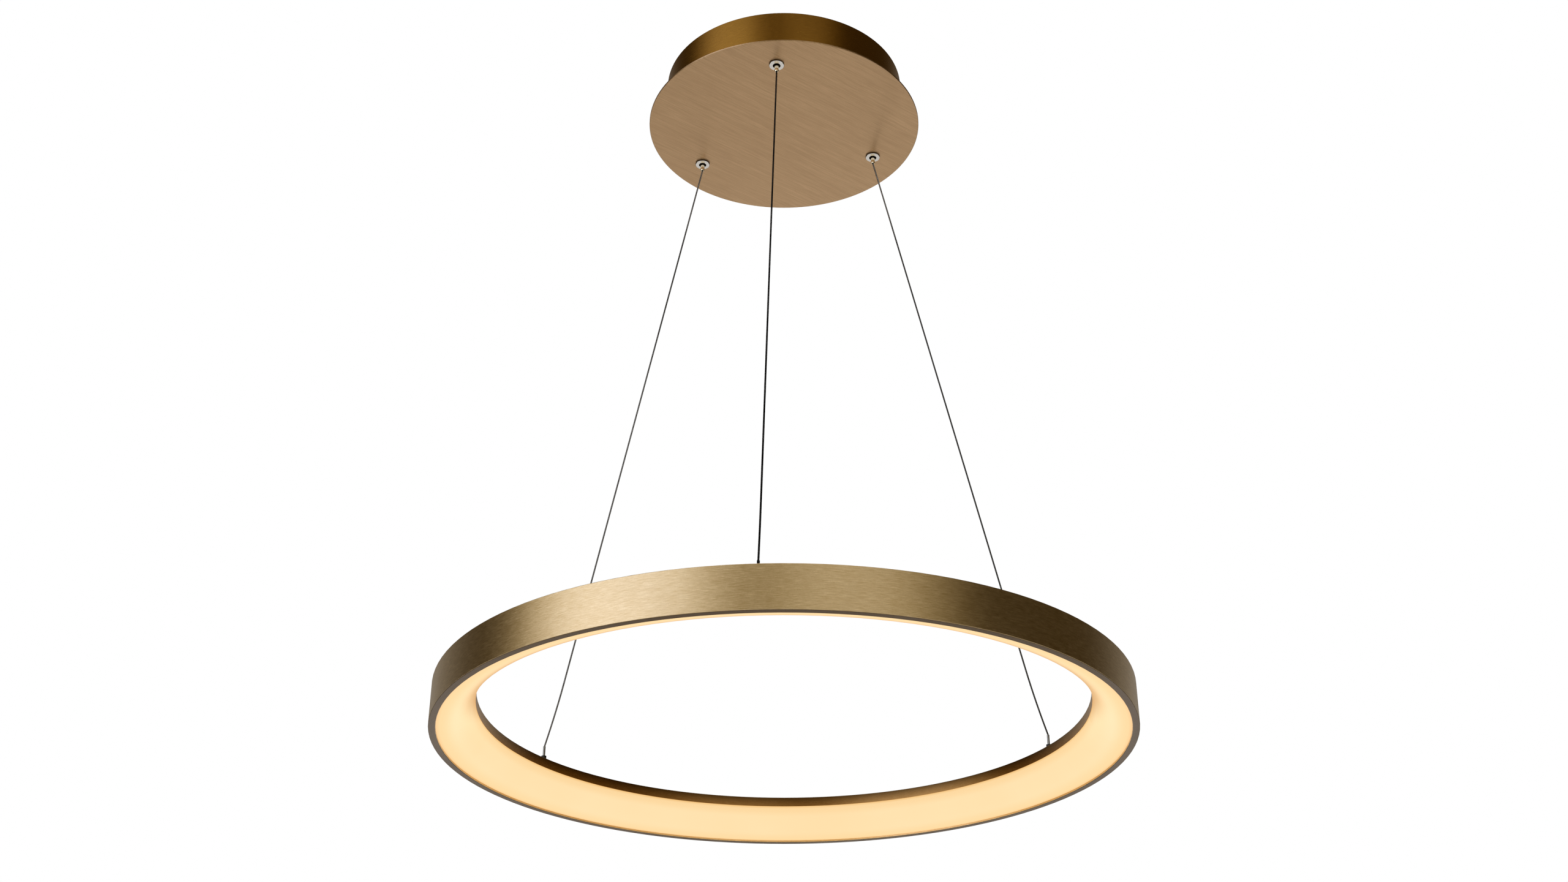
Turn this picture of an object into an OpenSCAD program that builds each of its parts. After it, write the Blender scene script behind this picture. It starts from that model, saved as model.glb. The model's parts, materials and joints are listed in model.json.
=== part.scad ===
// Ring pendant light on three suspension wires.
// Origin: centre of the canopy on the ceiling plane. +Z points up, the ring hangs below.
// The front of the lamp faces -Y. The ceiling bracket lies along X.

/* [Ring] */
// Outer diameter of the light ring
ring_d = 580; // [460:5:900]
// Height of the ring
ring_h = 35; // [34:1:60]
// Width of the ring's section, from its outer face to its inner face
ring_w = 36; // [35:1:60]
// Width of the flat rim round the opal cover
rim_w = 6; // [4:0.5:7]
// Thickness of the rim's lip, on which the opal cover stands
lip_t = 1.8; // [1.4:0.1:2.6]
// Wall of the ring's outer face
outer_wall_t = 1.8; // [1.4:0.1:2.6]
// Thickness of the ring's top web
web_t = 1.8; // [1.4:0.1:2.6]
// Wall of the ring's inner face
inner_wall_t = 1.6; // [1.2:0.1:2.2]
// Height of the ring's inner face, from the top down to the opal cover
inner_wall_h = 8.6; // [7.6:0.2:14]
// Chamfer along the ring's edges
edge_chamfer = 0.4; // [0.2:0.1:0.6]

/* [Opal cover] */
// Wall of the opal cover
opal_t = 2; // [1.5:0.1:3]
// Radius of the cover's round corner
opal_corner_r = 27; // [20:0.5:29]
// Height of the tongue that snaps in behind the ring's inner face
opal_tongue_h = 4; // [2.5:0.1:4.5]
// Thickness of that tongue
opal_tongue_t = 1.2; // [0.8:0.1:2]
// Seam between the cover and the ring's walls
opal_seam = 0.2; // [0.1:0.05:0.4]

/* [Light source] */
// Width of the LED strip
strip_w = 10; // [8:1:12]
// Thickness of the LED strip
strip_t = 0.4; // [0.3:0.1:0.8]
// Number of LEDs round the ring
led_count = 120; // [60:6:180]
// Side of an LED along the strip
led_l = 2.8; // [2:0.1:3.5]
// Side of an LED across the strip
led_w = 3.5; // [2.8:0.1:5]
// Height of an LED
led_h = 0.8; // [0.5:0.1:1.4]

/* [Suspension] */
// Drop from the canopy plate's lower face to the ring's lower face
ring_drop = 634; // [420:1:1500]
// Diameter of a suspension wire
wire_d = 1.7; // [1:0.1:1.8]
// Direction of the front wire, seen from above
wire_turn = -94; // [-100:1:-80]
// How far the wire leans out over its last stretch above the ring
wire_flare = 3; // [0:0.5:6]
// Length of that last stretch
wire_flare_len = 60; // [30:1:120]

/* [Wire anchors] */
// Distance from the ring's inner face to an anchor's axis
anchor_inset = 8.5; // [7.5:0.5:10]
// Diameter of an anchor's head
anchor_d = 4.6; // [4.4:0.1:6.6]
// Height of an anchor's head
anchor_h = 4.7; // [4:0.1:8]
// Diameter of an anchor's stud
anchor_stud_d = 3; // [2.5:0.5:3]
// Diameter of the insulating collars above and below the web
collar_d = 7.2; // [6.6:0.1:8]
// Thickness of an insulating collar
collar_t = 0.8; // [0.5:0.1:1.5]
// Wall of the insulating sleeve in the web
sleeve_t = 0.6; // [0.4:0.1:0.8]
// Diameter of the ferrule on a wire's end
ferrule_d = 2.2; // [2.1:0.1:3]
// Length of the ferrule above its anchor
ferrule_l = 9; // [6:0.5:14]
// Depth of the ferrule in its anchor
ferrule_seat = 2.5; // [1.5:0.1:3.5]

/* [Canopy] */
// Outer diameter of the canopy's drum
drum_d = 232; // [216:1:300]
// Height of the canopy, from the ceiling to the plate's lower face
canopy_h = 48; // [44:1:80]
// Wall of the drum
drum_t = 1.2; // [0.8:0.1:2]
// How far the plate stands out past the drum
plate_overhang = 16.5; // [4:0.5:30]
// Thickness of the plate
plate_t = 1.5; // [1:0.1:3]
// Width of the drum's fixing tabs
tab_w = 20; // [16:1:26]
// Reach of a tab in from the drum's wall
tab_reach = 13; // [12:0.5:16]
// Chamfer round the plate's lower edge
plate_chamfer = 0.3; // [0.1:0.1:0.5]

/* [Ceiling bracket] */
// Width of the bracket
bracket_w = 24; // [20:1:30]
// Thickness of the bracket
bracket_t = 1.5; // [1.2:0.1:2.5]
// Gap between a bracket's leg and the drum
bracket_gap = 0.3; // [0.1:0.1:1]
// Height of the side screws below the ceiling
side_screw_drop = 10; // [8:0.5:14]
// Length of a bracket's leg past its side screw
leg_tail = 8; // [6:0.5:12]
// Distance between the ceiling fixings
fixing_spacing = 84; // [60:1:120]
// Width of a fixing slot
fixing_slot_w = 5; // [4:0.5:7]
// Length of a fixing slot from end to end
fixing_slot_l = 16; // [10:1:24]
// Diameter of the hole for the house cable
cable_hole_d = 14; // [8:1:16]

/* [Wire grippers] */
// Distance from the drum's outer face to a gripper's axis
gripper_inset = 16.5; // [15:0.5:24]
// Diameter of a gripper's flange under the plate
flange_d = 14.4; // [13:0.1:18]
// Thickness of that flange
flange_t = 1.6; // [1.2:0.1:2.4]
// Diameter of the recess in the flange
recess_d = 7.4; // [6:0.1:9]
// Depth of the recess past the flange
recess_deep = 1; // [0:0.1:1.5]
// Diameter of a gripper's barrel through the plate
barrel_d = 10; // [9.6:0.1:11]
// Room left in the spring chamber when the plunger is pushed right in
spring_spare = 1.1; // [0.5:0.1:4]
// Thickness of the barrel's cap
cap_t = 3; // [2:0.1:5]
// Diameter of the plunger's tube
plunger_d = 4.1; // [3.8:0.1:4.6]
// How far the plunger stands out below the flange
plunger_proud = 7; // [5:0.5:10]
// Travel of the plunger
plunger_travel = 2.5; // [1:0.1:3]
// Height at which the plunger's collar rests in the barrel
collar_seat = 12.4; // [12:0.1:13]
// Thickness of the plunger's collar
plunger_collar_t = 1.5; // [1:0.1:2]
// Diameter of the spring chamber in the barrel
chamber_d = 7.2; // [7:0.1:7.6]
// Diameter of a gripping ball
ball_d = 1.6; // [1.4:0.1:1.6]
// Height of the balls above the plate's lower face
ball_up = 9; // [8:0.1:10]
// Diameter of the spring's wire
spring_wire_d = 0.5; // [0.3:0.05:0.6]
// Number of turns of the spring
spring_turns = 4; // [3:0.5:4.5]
// Thickness of a gripper's nut
gripper_nut_h = 3; // [2:0.1:5]
// Width across flats of a gripper's nut
gripper_nut_af = 14; // [13:0.5:15]

/* [Electrics] */
// Length of the LED driver's housing
driver_l = 136; // [110:1:144]
// Width of the LED driver's housing
driver_w = 46; // [40:1:50]
// Height of the LED driver's housing
driver_h = 26; // [20:1:28]
// Rounding of the driver's upright edges
driver_corner_r = 4; // [2:0.5:8]
// Pitch of the terminal block's poles
pole_pitch = 9; // [8:0.5:11]
// Depth of the terminal block
block_w = 18; // [14:1:20]
// Height of the terminal block
block_h = 15; // [12:1:18]
// Diameter of an insulated lead
lead_d = 1.8; // [1.4:0.1:2]

/* [Hidden] */

$fn = 96;
eps = 0.05;
// Radial clearance of screws, studs and nuts
thread_gap = 0.1;
// Radial clearance of a piece that slides in its bore
slide_gap = 0.06;
// Clearance between a wire and the bore that it runs through
wire_gap = 0.25;
// The three wires, in order round the canopy
front = 0;
right = 1;
left = 2;
wires = [front, right, left];
lead_r = lead_d / 2;

// Ring: radii and heights
ring_r = ring_d / 2;
ring_ri = ring_r - ring_w;
rim_ri = ring_r - rim_w;
plate_z = -canopy_h;
ring_z = plate_z - ring_drop;
ring_top = ring_z + ring_h;
web_z = ring_top - web_t;
lip_z = ring_z + lip_t;
inner_wall_z = ring_top - inner_wall_h;
outer_wall_ri = ring_r - outer_wall_t;

// Opal cover: the round corner starts on the lip and ends under the ring's inner wall
shoulder_z = inner_wall_z - opal_seam;
opal_rise = shoulder_z - lip_z;
corner_left_over = max(opal_corner_r - opal_rise, 0);
corner_r = ring_ri + sqrt(pow(opal_corner_r, 2) - pow(corner_left_over, 2));
corner_z = lip_z + opal_corner_r;
corner_end = acos(corner_left_over / opal_corner_r);
tongue_r0 = ring_ri + inner_wall_t + opal_seam;
tongue_r1 = max(tongue_r0 + opal_tongue_t, ring_ri + opal_t);
opal_foot_r = outer_wall_ri - opal_seam;
opal_steps = 18;

// Wire anchors
anchor_r = ring_ri + anchor_inset;
anchor_nut_af = anchor_stud_d + 2.5;
anchor_nut_r = anchor_nut_af / sqrt(3);
anchor_nut_h = 0.8 * anchor_stud_d;
anchor_head_z = ring_top + collar_t;
anchor_top = anchor_head_z + anchor_h;
anchor_bore_r = anchor_stud_d / 2 + thread_gap / 2;
anchor_sleeve_r = anchor_bore_r + sleeve_t;
washer_z = web_z - collar_t;
anchor_nut_z = washer_z - anchor_nut_h;
stud_tip = anchor_nut_z - 0.6;
ferrule_top = anchor_top + ferrule_l;
ferrule_r = ferrule_d / 2;

// LED strip, between the anchors and the outer wall
strip_r = (anchor_r + max(anchor_nut_r, collar_d / 2) + outer_wall_ri) / 2;
strip_z = web_z - strip_t;
led_turn = 360 / led_count;

// Canopy
drum_r = drum_d / 2;
drum_ri = drum_r - drum_t;
plate_r = drum_r + plate_overhang;
plate_top = plate_z + plate_t;
tab_turn = wire_turn + 60;
tab_hole_r = drum_ri - tab_reach / 2;
tab_stud_d = 4;
tab_nut_h = 3.2;
tab_nut_af = 7;

// Ceiling bracket and side screws
leg_x = sqrt(pow(drum_ri, 2) - pow(bracket_w / 2, 2)) - bracket_gap;
leg_h = side_screw_drop + leg_tail;
screw_d = 4;
screw_head_d = 7.6;
screw_l = 9;
earth_x = leg_x - 24;

// Wire grippers: heights are counted up from the plate's lower face
gripper_r = drum_r - gripper_inset;
wire_r = wire_d / 2;
bore_r = wire_r + wire_gap;
bush_t = 0.8;
hole_r = barrel_d / 2 + bush_t;
chamber_r = chamber_d / 2;
plunger_r = plunger_d / 2;
plunger_tip = -flange_t - plunger_proud;
ball_r = ball_d / 2;
ball_orbit = wire_r + ball_r + 0.07;
cone_slope = 0.1;
cone_low = recess_deep + 4;
function cone_at(up) = ball_orbit + ball_r * sqrt(1 + pow(cone_slope, 2)) + slide_gap
  + cone_slope * (up - ball_up);
cone_low_r = max(plunger_r + 0.1, cone_at(cone_low));
cone_top_r = max(cone_low_r, cone_at(collar_seat));
spring_r = (bore_r + chamber_r) / 2 + 0.3;
spring_low = collar_seat + plunger_collar_t;
barrel_h = spring_low + plunger_travel + (spring_turns + 1) * spring_wire_d + spring_spare;
spring_high = barrel_h - eps;
cap_top = barrel_h + cap_t;
stop_low = cap_top + 1;
stop_h = 7;
stop_r = max(wire_r, lead_r) + 0.8;
stop_top = plate_z + stop_low + stop_h;
wire_top = plate_z + plunger_tip - 0.2;

// Electrics
lug_w = 12;
lug_l = 10;
lug_t = 3;
lug_stud_d = 3;
lug_x = driver_l / 2 + lug_l / 2;
lug_y = driver_w / 2 - lug_w / 2;
grommet_d = 9;
grommet_l = 3;
grommet_z = plate_top + driver_h / 2;
poles = 3;
block_l = poles * pole_pitch;
block_y = -driver_w / 2 - 26;
block_foot = 8;
terminal_z = plate_top + block_h / 2;
mains_gap = 4;

// Places a piece at a wire's gripper, with heights counted from the plate's lower face
module at_gripper(k) {
  rotate([0, 0, wire_turn + 120 * k]) translate([gripper_r, 0, plate_z]) children();
}

// Places a piece at a wire's anchor on the ring
module at_anchor(k) {
  rotate([0, 0, wire_turn + 120 * k]) translate([anchor_r, 0, 0]) children();
}

module disc(r, z0, z1) {
  translate([0, 0, z0]) cylinder(r = r, h = z1 - z0);
}

module tube(r, bore, z0, z1) {
  difference() {
    disc(r, z0, z1);
    disc(bore, z0 - eps, z1 + eps);
  }
}

module hex_nut(af, bore, z0, z1) {
  difference() {
    translate([0, 0, z0]) cylinder(d = af * 2 / sqrt(3), h = z1 - z0, $fn = 6);
    disc(bore, z0 - eps, z1 + eps);
  }
}

module rounded_plate(l, w, r, h) {
  linear_extrude(h) {
    square([l - 2 * r, w], center = true);
    square([l, w - 2 * r], center = true);
    for (x = [-1, 1], y = [-1, 1]) translate([x * (l / 2 - r), y * (w / 2 - r)]) circle(r = r);
  }
}

// A round tube along a list of points
function unit(v) = v / norm(v);
function heading(p, i) = unit(p[min(i + 1, len(p) - 1)] - p[max(i - 1, 0)]);
function side_of(t) = abs(t[2]) < 0.9 ? unit(cross(t, [0, 0, 1])) : unit(cross(t, [0, 1, 0]));
function carried(s, t) = unit(s - t * (s * t));
function sides_along(p, i = 0, last = undef) =
  let (t = heading(p, i))
  let (s = i == 0 ? side_of(t) : carried(last, t))
  i == len(p) - 1 ? [s] : concat([s], sides_along(p, i + 1, s));
function ring_faces(rings, n) = concat(
  [[for (j = [0 : n - 1]) j]],
  [for (i = [0 : rings - 2], j = [0 : n - 1])
    [i * n + j, (i + 1) * n + j, (i + 1) * n + (j + 1) % n]],
  [for (i = [0 : rings - 2], j = [0 : n - 1])
    [i * n + j, (i + 1) * n + (j + 1) % n, i * n + (j + 1) % n]],
  [[for (j = [n - 1 : -1 : 0]) (rings - 1) * n + j]]);

module swept_tube(points, r, n = 8) {
  sides = sides_along(points);
  skin = [for (i = [0 : len(points) - 1], j = [0 : n - 1])
    let (t = heading(points, i), a = 360 * j / n, u = sides[i], v = cross(t, sides[i]))
    points[i] + r * (cos(a) * u + sin(a) * v)];
  polyhedron(points = skin, faces = ring_faces(len(points), n), convexity = 4);
}

// A smooth curve through a list of points, with a few steps between each two
function spline_at(a, b, c, d, t) =
  0.5 * ((2 * b) + (c - a) * t + (2 * a - 5 * b + 4 * c - d) * t * t
    + (3 * b - a - 3 * c + d) * t * t * t);
function smooth(p, steps) = concat(
  [for (i = [0 : len(p) - 2], s = [0 : steps - 1])
    spline_at(p[max(i - 1, 0)], p[i], p[i + 1], p[min(i + 2, len(p) - 1)], s / steps)],
  [p[len(p) - 1]]);

// Ring profile: outer wall, lip, web and inner wall in one rolled section
module ring_profile() {
  c = edge_chamfer;
  color("peru") difference() {
    rotate_extrude($fn = 180) polygon([
      [rim_ri + c, ring_z], [ring_r - c, ring_z], [ring_r, ring_z + c],
      [ring_r, ring_top - c], [ring_r - c, ring_top],
      [ring_ri + c, ring_top], [ring_ri, ring_top - c],
      [ring_ri, inner_wall_z], [ring_ri + inner_wall_t, inner_wall_z],
      [ring_ri + inner_wall_t, web_z], [outer_wall_ri, web_z],
      [outer_wall_ri, lip_z], [rim_ri, lip_z], [rim_ri, ring_z + c]
    ]);
    for (k = wires) at_anchor(k) disc(anchor_sleeve_r + thread_gap, web_z - eps, ring_top + eps);
  }
}

// Opal cover: a foot on the lip, a round corner, and a tongue behind the ring's inner wall
function corner_arc(r, from, to, n) =
  [for (i = [0 : n]) let (a = from + (to - from) * i / n)
    [corner_r - r * sin(a), corner_z - r * cos(a)]];

module opal_cover() {
  inner_r = opal_corner_r - opal_t;
  inner_end = asin(min(1, (corner_r - tongue_r1) / inner_r));
  color("moccasin") rotate_extrude($fn = 180) polygon(concat(
    [[opal_foot_r, lip_z]],
    corner_arc(opal_corner_r, 0, corner_end, opal_steps),
    [[ring_ri, shoulder_z], [tongue_r0, shoulder_z],
      [tongue_r0, shoulder_z + opal_tongue_h], [tongue_r1, shoulder_z + opal_tongue_h]],
    corner_arc(inner_r, inner_end, 0, opal_steps),
    [[opal_foot_r, lip_z + opal_t]]));
}

module led_strip() {
  color("white") rotate_extrude($fn = 180)
    translate([strip_r - strip_w / 2, strip_z]) square([strip_w, strip_t]);
}

module led_chips() {
  color("khaki") for (i = [0 : led_count - 1]) rotate([0, 0, i * led_turn])
    translate([strip_r - led_w / 2, -led_l / 2, strip_z - led_h]) cube([led_w, led_l, led_h]);
}

// Leads from the two live anchors to the strip's solder pads
module strip_leads() {
  pad = strip_r - led_w / 2 - lead_r - 0.6 - anchor_r;
  dip = stud_tip - 4;
  color("ivory") for (k = [right, left]) at_anchor(k) swept_tube(smooth([
    [0, 0, stud_tip], [0, 0, stud_tip - 1], [0, 0, stud_tip - 2], [pad * 0.4, 0, dip],
    [pad * 0.8, 0, dip + 1], [pad, 0, strip_z - 3], [pad, 0, strip_z - 1.5], [pad, 0, strip_z]
  ], 3), lead_r);
}

// Wire anchors: a round head above the web and a stud through it
module wire_anchor(k) {
  color("silver") at_anchor(k) difference() {
    union() {
      disc(anchor_d / 2, anchor_head_z, anchor_top);
      disc(anchor_stud_d / 2, stud_tip, anchor_head_z + eps);
    }
    disc(ferrule_r + slide_gap, anchor_top - ferrule_seat, anchor_top + eps);
  }
}

module wire_anchor_front() { wire_anchor(front); }
module wire_anchor_right() { wire_anchor(right); }
module wire_anchor_left() { wire_anchor(left); }

// Ferrules crimped on the wires' lower ends
module wire_ferrule(k) {
  color("gainsboro") at_anchor(k) disc(ferrule_r, anchor_top - ferrule_seat, ferrule_top);
}

module wire_ferrule_front() { wire_ferrule(front); }
module wire_ferrule_right() { wire_ferrule(right); }
module wire_ferrule_left() { wire_ferrule(left); }

module anchor_bushes() {
  color("dimgray") for (k = wires) at_anchor(k) difference() {
    union() {
      disc(collar_d / 2, ring_top, anchor_head_z);
      disc(anchor_sleeve_r, web_z, ring_top + eps);
    }
    disc(anchor_bore_r, web_z - eps, anchor_head_z + eps);
  }
}

module anchor_washers() {
  color("dimgray") for (k = wires) at_anchor(k) tube(collar_d / 2, anchor_bore_r, washer_z, web_z);
}

module anchor_nuts() {
  color("silver") for (k = wires) at_anchor(k)
    hex_nut(anchor_nut_af, anchor_bore_r, anchor_nut_z, washer_z);
}

// Suspension wires: straight, with a slight outward flare above the ring
function wire_run(z) = (wire_top - z) / (wire_top - ferrule_top);
function wire_lean(z) = wire_flare * pow(max(0, 1 - (z - ferrule_top) / wire_flare_len), 2);
function wire_x(z) =
  gripper_r + (anchor_r - wire_flare - gripper_r) * wire_run(z) + wire_lean(z);
wire_straight_rings = 6;
wire_flare_rings = 8;
wire_heights = concat(
  [for (i = [0 : wire_straight_rings - 1])
    wire_top + (ferrule_top + wire_flare_len - wire_top) * i / wire_straight_rings],
  [for (i = [0 : wire_flare_rings])
    ferrule_top + wire_flare_len * (1 - i / wire_flare_rings)]);

module suspension_wire(k) {
  n = 8;
  skin = [for (z = wire_heights, j = [0 : n - 1])
    [wire_x(z) + wire_r * cos(360 * j / n), -wire_r * sin(360 * j / n), z]];
  color("gray") rotate([0, 0, wire_turn + 120 * k])
    polyhedron(points = skin, faces = ring_faces(len(wire_heights), n), convexity = 4);
}

module suspension_wire_front() { suspension_wire(front); }
module suspension_wire_right() { suspension_wire(right); }
module suspension_wire_left() { suspension_wire(left); }

// The stretch of each wire that its gripper holds
module wire_tails() {
  color("gray") for (k = wires) at_gripper(k)
    disc(wire_r, plunger_tip - 0.2, stop_low + stop_h - 2.3);
}

// End stops crimped on the wires above their grippers
module wire_end_stops() {
  color("gainsboro") for (k = wires) at_gripper(k) difference() {
    disc(stop_r, stop_low, stop_low + stop_h);
    disc(wire_r + slide_gap, stop_low - eps, stop_low + stop_h - 2.2);
    disc(lead_r + slide_gap, stop_low + stop_h - 1.8, stop_low + stop_h + eps);
  }
}

// Gripper bodies: flange, barrel, guide bore, gripping cone and spring chamber
module gripper_body(k) {
  color("silver") at_gripper(k) rotate_extrude() polygon([
    [recess_d / 2, -flange_t], [flange_d / 2 - 0.4, -flange_t], [flange_d / 2, 0.4 - flange_t],
    [flange_d / 2, 0], [barrel_d / 2, 0], [barrel_d / 2, barrel_h], [chamber_r, barrel_h],
    [chamber_r, collar_seat], [cone_top_r, collar_seat], [cone_low_r, cone_low],
    [plunger_r + slide_gap, cone_low], [plunger_r + slide_gap, recess_deep],
    [recess_d / 2, recess_deep]
  ]);
}

module gripper_body_front() { gripper_body(front); }
module gripper_body_right() { gripper_body(right); }
module gripper_body_left() { gripper_body(left); }

module gripper_cap(k) {
  color("silver") at_gripper(k) tube(barrel_d / 2, bore_r, barrel_h, cap_top);
}

module gripper_cap_front() { gripper_cap(front); }
module gripper_cap_right() { gripper_cap(right); }
module gripper_cap_left() { gripper_cap(left); }

// Insulating bushes that keep the live grippers off the plate
module gripper_bushes() {
  color("dimgray") for (k = wires) at_gripper(k) difference() {
    union() {
      disc(hole_r - thread_gap, 0, plate_t + eps);
      disc(gripper_nut_af / 2 + 1, plate_t, plate_t + bush_t);
    }
    disc(barrel_d / 2 + thread_gap / 2, -eps, plate_t + bush_t + eps);
  }
}

module gripper_nuts() {
  color("silver") for (k = wires) at_gripper(k)
    hex_nut(gripper_nut_af, barrel_d / 2 + thread_gap / 2,
      plate_t + bush_t, plate_t + bush_t + gripper_nut_h);
}

// Release plungers: pushed up they free the balls
module release_plunger(k) {
  window_r = ball_r + 0.08;
  color("silver") at_gripper(k) difference() {
    rotate_extrude() polygon([
      [bore_r, plunger_tip], [plunger_r - 0.5, plunger_tip], [plunger_r, plunger_tip + 0.8],
      [plunger_r, collar_seat], [chamber_r - slide_gap, collar_seat],
      [chamber_r - slide_gap, spring_low], [bore_r, spring_low]
    ]);
    for (i = [0 : 2]) rotate([0, 0, 120 * i]) translate([0, 0, ball_up]) rotate([0, 90, 0])
      cylinder(r = window_r, h = chamber_r);
  }
}

module release_plunger_front() { release_plunger(front); }
module release_plunger_right() { release_plunger(right); }
module release_plunger_left() { release_plunger(left); }

module gripping_balls(k) {
  color("lightgray") at_gripper(k) for (i = [0 : 2]) rotate([0, 0, 120 * i])
    translate([ball_orbit, 0, ball_up]) sphere(r = ball_r, $fn = 32);
}

module gripping_balls_front() { gripping_balls(front); }
module gripping_balls_right() { gripping_balls(right); }
module gripping_balls_left() { gripping_balls(left); }

// Springs between the plungers' collars and the caps
module plunger_spring(k) {
  steps = 12;
  low = spring_low + spring_wire_d / 2 + eps;
  rise = spring_high - spring_low - spring_wire_d - 2 * eps;
  count = floor(spring_turns * steps);
  color("lightgray") at_gripper(k) swept_tube([for (i = [0 : count]) let (a = 360 * i / steps)
    [spring_r * cos(a), spring_r * sin(a), low + rise * i / count]], spring_wire_d / 2, 6);
}

module plunger_spring_front() { plunger_spring(front); }
module plunger_spring_right() { plunger_spring(right); }
module plunger_spring_left() { plunger_spring(left); }

// Canopy plate: the brushed disc that carries the grippers
module canopy_plate() {
  color("burlywood") difference() {
    rotate_extrude($fn = 180) polygon([
      [0, plate_z], [plate_r - plate_chamfer, plate_z], [plate_r, plate_z + plate_chamfer],
      [plate_r, plate_top], [0, plate_top]
    ]);
    for (k = wires) at_gripper(k) disc(hole_r, -eps, plate_t + eps);
  }
}

// Canopy drum: a wall with three fixing tabs at its foot
module canopy_drum() {
  color("saddlebrown") difference() {
    union() {
      rotate_extrude($fn = 180)
        translate([drum_ri, plate_top]) square([drum_t, -plate_top]);
      intersection() {
        tube(drum_ri + eps, drum_ri - tab_reach, plate_top, plate_top + drum_t);
        for (k = wires) rotate([0, 0, tab_turn + 120 * k])
          translate([drum_ri - tab_reach - 2, -tab_w / 2, plate_top - 1])
            cube([tab_reach + 3, tab_w, drum_t + 2]);
      }
    }
    for (k = wires) rotate([0, 0, tab_turn + 120 * k]) translate([tab_hole_r, 0, 0])
      disc(tab_stud_d / 2 + 0.3, plate_top - eps, plate_top + drum_t + eps);
    for (s = [-1, 1]) translate([s * drum_r, 0, -side_screw_drop]) rotate([0, -90 * s, 0]) {
      translate([0, 0, -drum_t]) cylinder(r = screw_d / 2 + 0.2, h = 3 * drum_t);
      translate([0, 0, -1]) cylinder(r = screw_head_d / 2, h = 1 + drum_t / 2);
    }
  }
}

// Studs welded on the plate, for the drum, the driver and the terminal block
module plate_studs() {
  color("lightgray") {
    for (k = wires) rotate([0, 0, tab_turn + 120 * k]) translate([tab_hole_r, 0, 0])
      disc(tab_stud_d / 2, plate_top, plate_top + drum_t + tab_nut_h + 1.5);
    for (s = [-1, 1]) translate([s * lug_x, s * lug_y, 0])
      disc(lug_stud_d / 2, plate_top, plate_top + lug_t + 4);
    translate([block_l / 2 + block_foot / 2, block_y, 0])
      disc(lug_stud_d / 2, plate_top, plate_top + lug_t + 4);
  }
}

module tab_nuts() {
  color("silver") for (k = wires) rotate([0, 0, tab_turn + 120 * k]) translate([tab_hole_r, 0, 0])
    hex_nut(tab_nut_af, tab_stud_d / 2 + thread_gap,
      plate_top + drum_t, plate_top + drum_t + tab_nut_h);
}

// Side screws hold the drum on the ceiling bracket's legs
module side_screws() {
  color("silver") for (s = [-1, 1]) translate([s * drum_r, 0, -side_screw_drop])
    rotate([0, -90 * s, 0]) difference() {
      union() {
        cylinder(r = screw_head_d / 2 - 0.2, h = drum_t / 2);
        cylinder(r = screw_d / 2, h = screw_l);
      }
      translate([0, 0, -eps]) cylinder(r = 1.2, h = 0.5, $fn = 6);
    }
}

// Ceiling bracket: a strap with two legs, slots for the ceiling and a hole for the cable
module ceiling_bracket() {
  slot_run = fixing_slot_l / 2 - fixing_slot_w / 2;
  color("lightgray") difference() {
    union() {
      translate([-leg_x, -bracket_w / 2, -bracket_t]) cube([2 * leg_x, bracket_w, bracket_t]);
      for (s = [0, 1]) mirror([s, 0, 0])
        translate([leg_x - bracket_t, -bracket_w / 2, -leg_h]) cube([bracket_t, bracket_w, leg_h]);
      for (s = [0, 1]) mirror([s, 0, 0]) translate([leg_x - bracket_t - 2, 0, -side_screw_drop])
        rotate([0, 90, 0]) cylinder(r = screw_d / 2 + 1.6, h = 2 + eps);
    }
    translate([0, 0, -bracket_t - eps]) cylinder(d = cable_hole_d, h = bracket_t + 2 * eps);
    for (s = [-1, 1]) translate([s * fixing_spacing / 2, 0, -bracket_t - eps]) {
      for (e = [-1, 1]) translate([e * slot_run, 0, 0])
        cylinder(d = fixing_slot_w, h = bracket_t + 2 * eps);
      translate([-slot_run, -fixing_slot_w / 2, 0])
        cube([2 * slot_run, fixing_slot_w, bracket_t + 2 * eps]);
    }
    for (s = [-1, 1]) translate([s * (leg_x + 1), 0, -side_screw_drop]) rotate([0, -90 * s, 0])
      cylinder(r = screw_d / 2 + thread_gap, h = bracket_t + 5);
    translate([earth_x, 0, -bracket_t - eps])
      cylinder(r = screw_d / 2 + thread_gap, h = bracket_t + 2 * eps);
  }
}

// LED driver: a closed housing with two fixing lugs and a grommet at each end
module led_driver() {
  color("whitesmoke") difference() {
    union() {
      translate([0, 0, plate_top]) rounded_plate(driver_l, driver_w, driver_corner_r, driver_h);
      for (s = [-1, 1]) translate([s * (lug_x - 1), s * lug_y, plate_top])
        rounded_plate(lug_l + 2, lug_w, 2, lug_t);
      for (s = [-1, 1]) translate([s * (driver_l / 2 - 1), -s * 8, grommet_z])
        rotate([0, 90 * s, 0]) cylinder(d = grommet_d, h = grommet_l + 1);
    }
    for (s = [-1, 1]) translate([s * lug_x, s * lug_y, 0])
      disc(lug_stud_d / 2 + 0.3, plate_top - eps, plate_top + lug_t + eps);
    for (s = [-1, 1], d = [-1, 1]) translate([s * (driver_l / 2 + grommet_l - 2),
      -s * 8 + d * mains_gap / 2, grommet_z]) rotate([0, 90 * s, 0])
      cylinder(r = lead_r + 0.1, h = grommet_l);
  }
}

module driver_nuts() {
  color("silver") for (s = [-1, 1]) translate([s * lug_x, s * lug_y, 0])
    hex_nut(5.5, lug_stud_d / 2 + thread_gap, plate_top + lug_t, plate_top + lug_t + 2.4);
}

// Terminal block: three poles side by side on a foot
function pole_x(i) = (i - (poles - 1) / 2) * pole_pitch;

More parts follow.
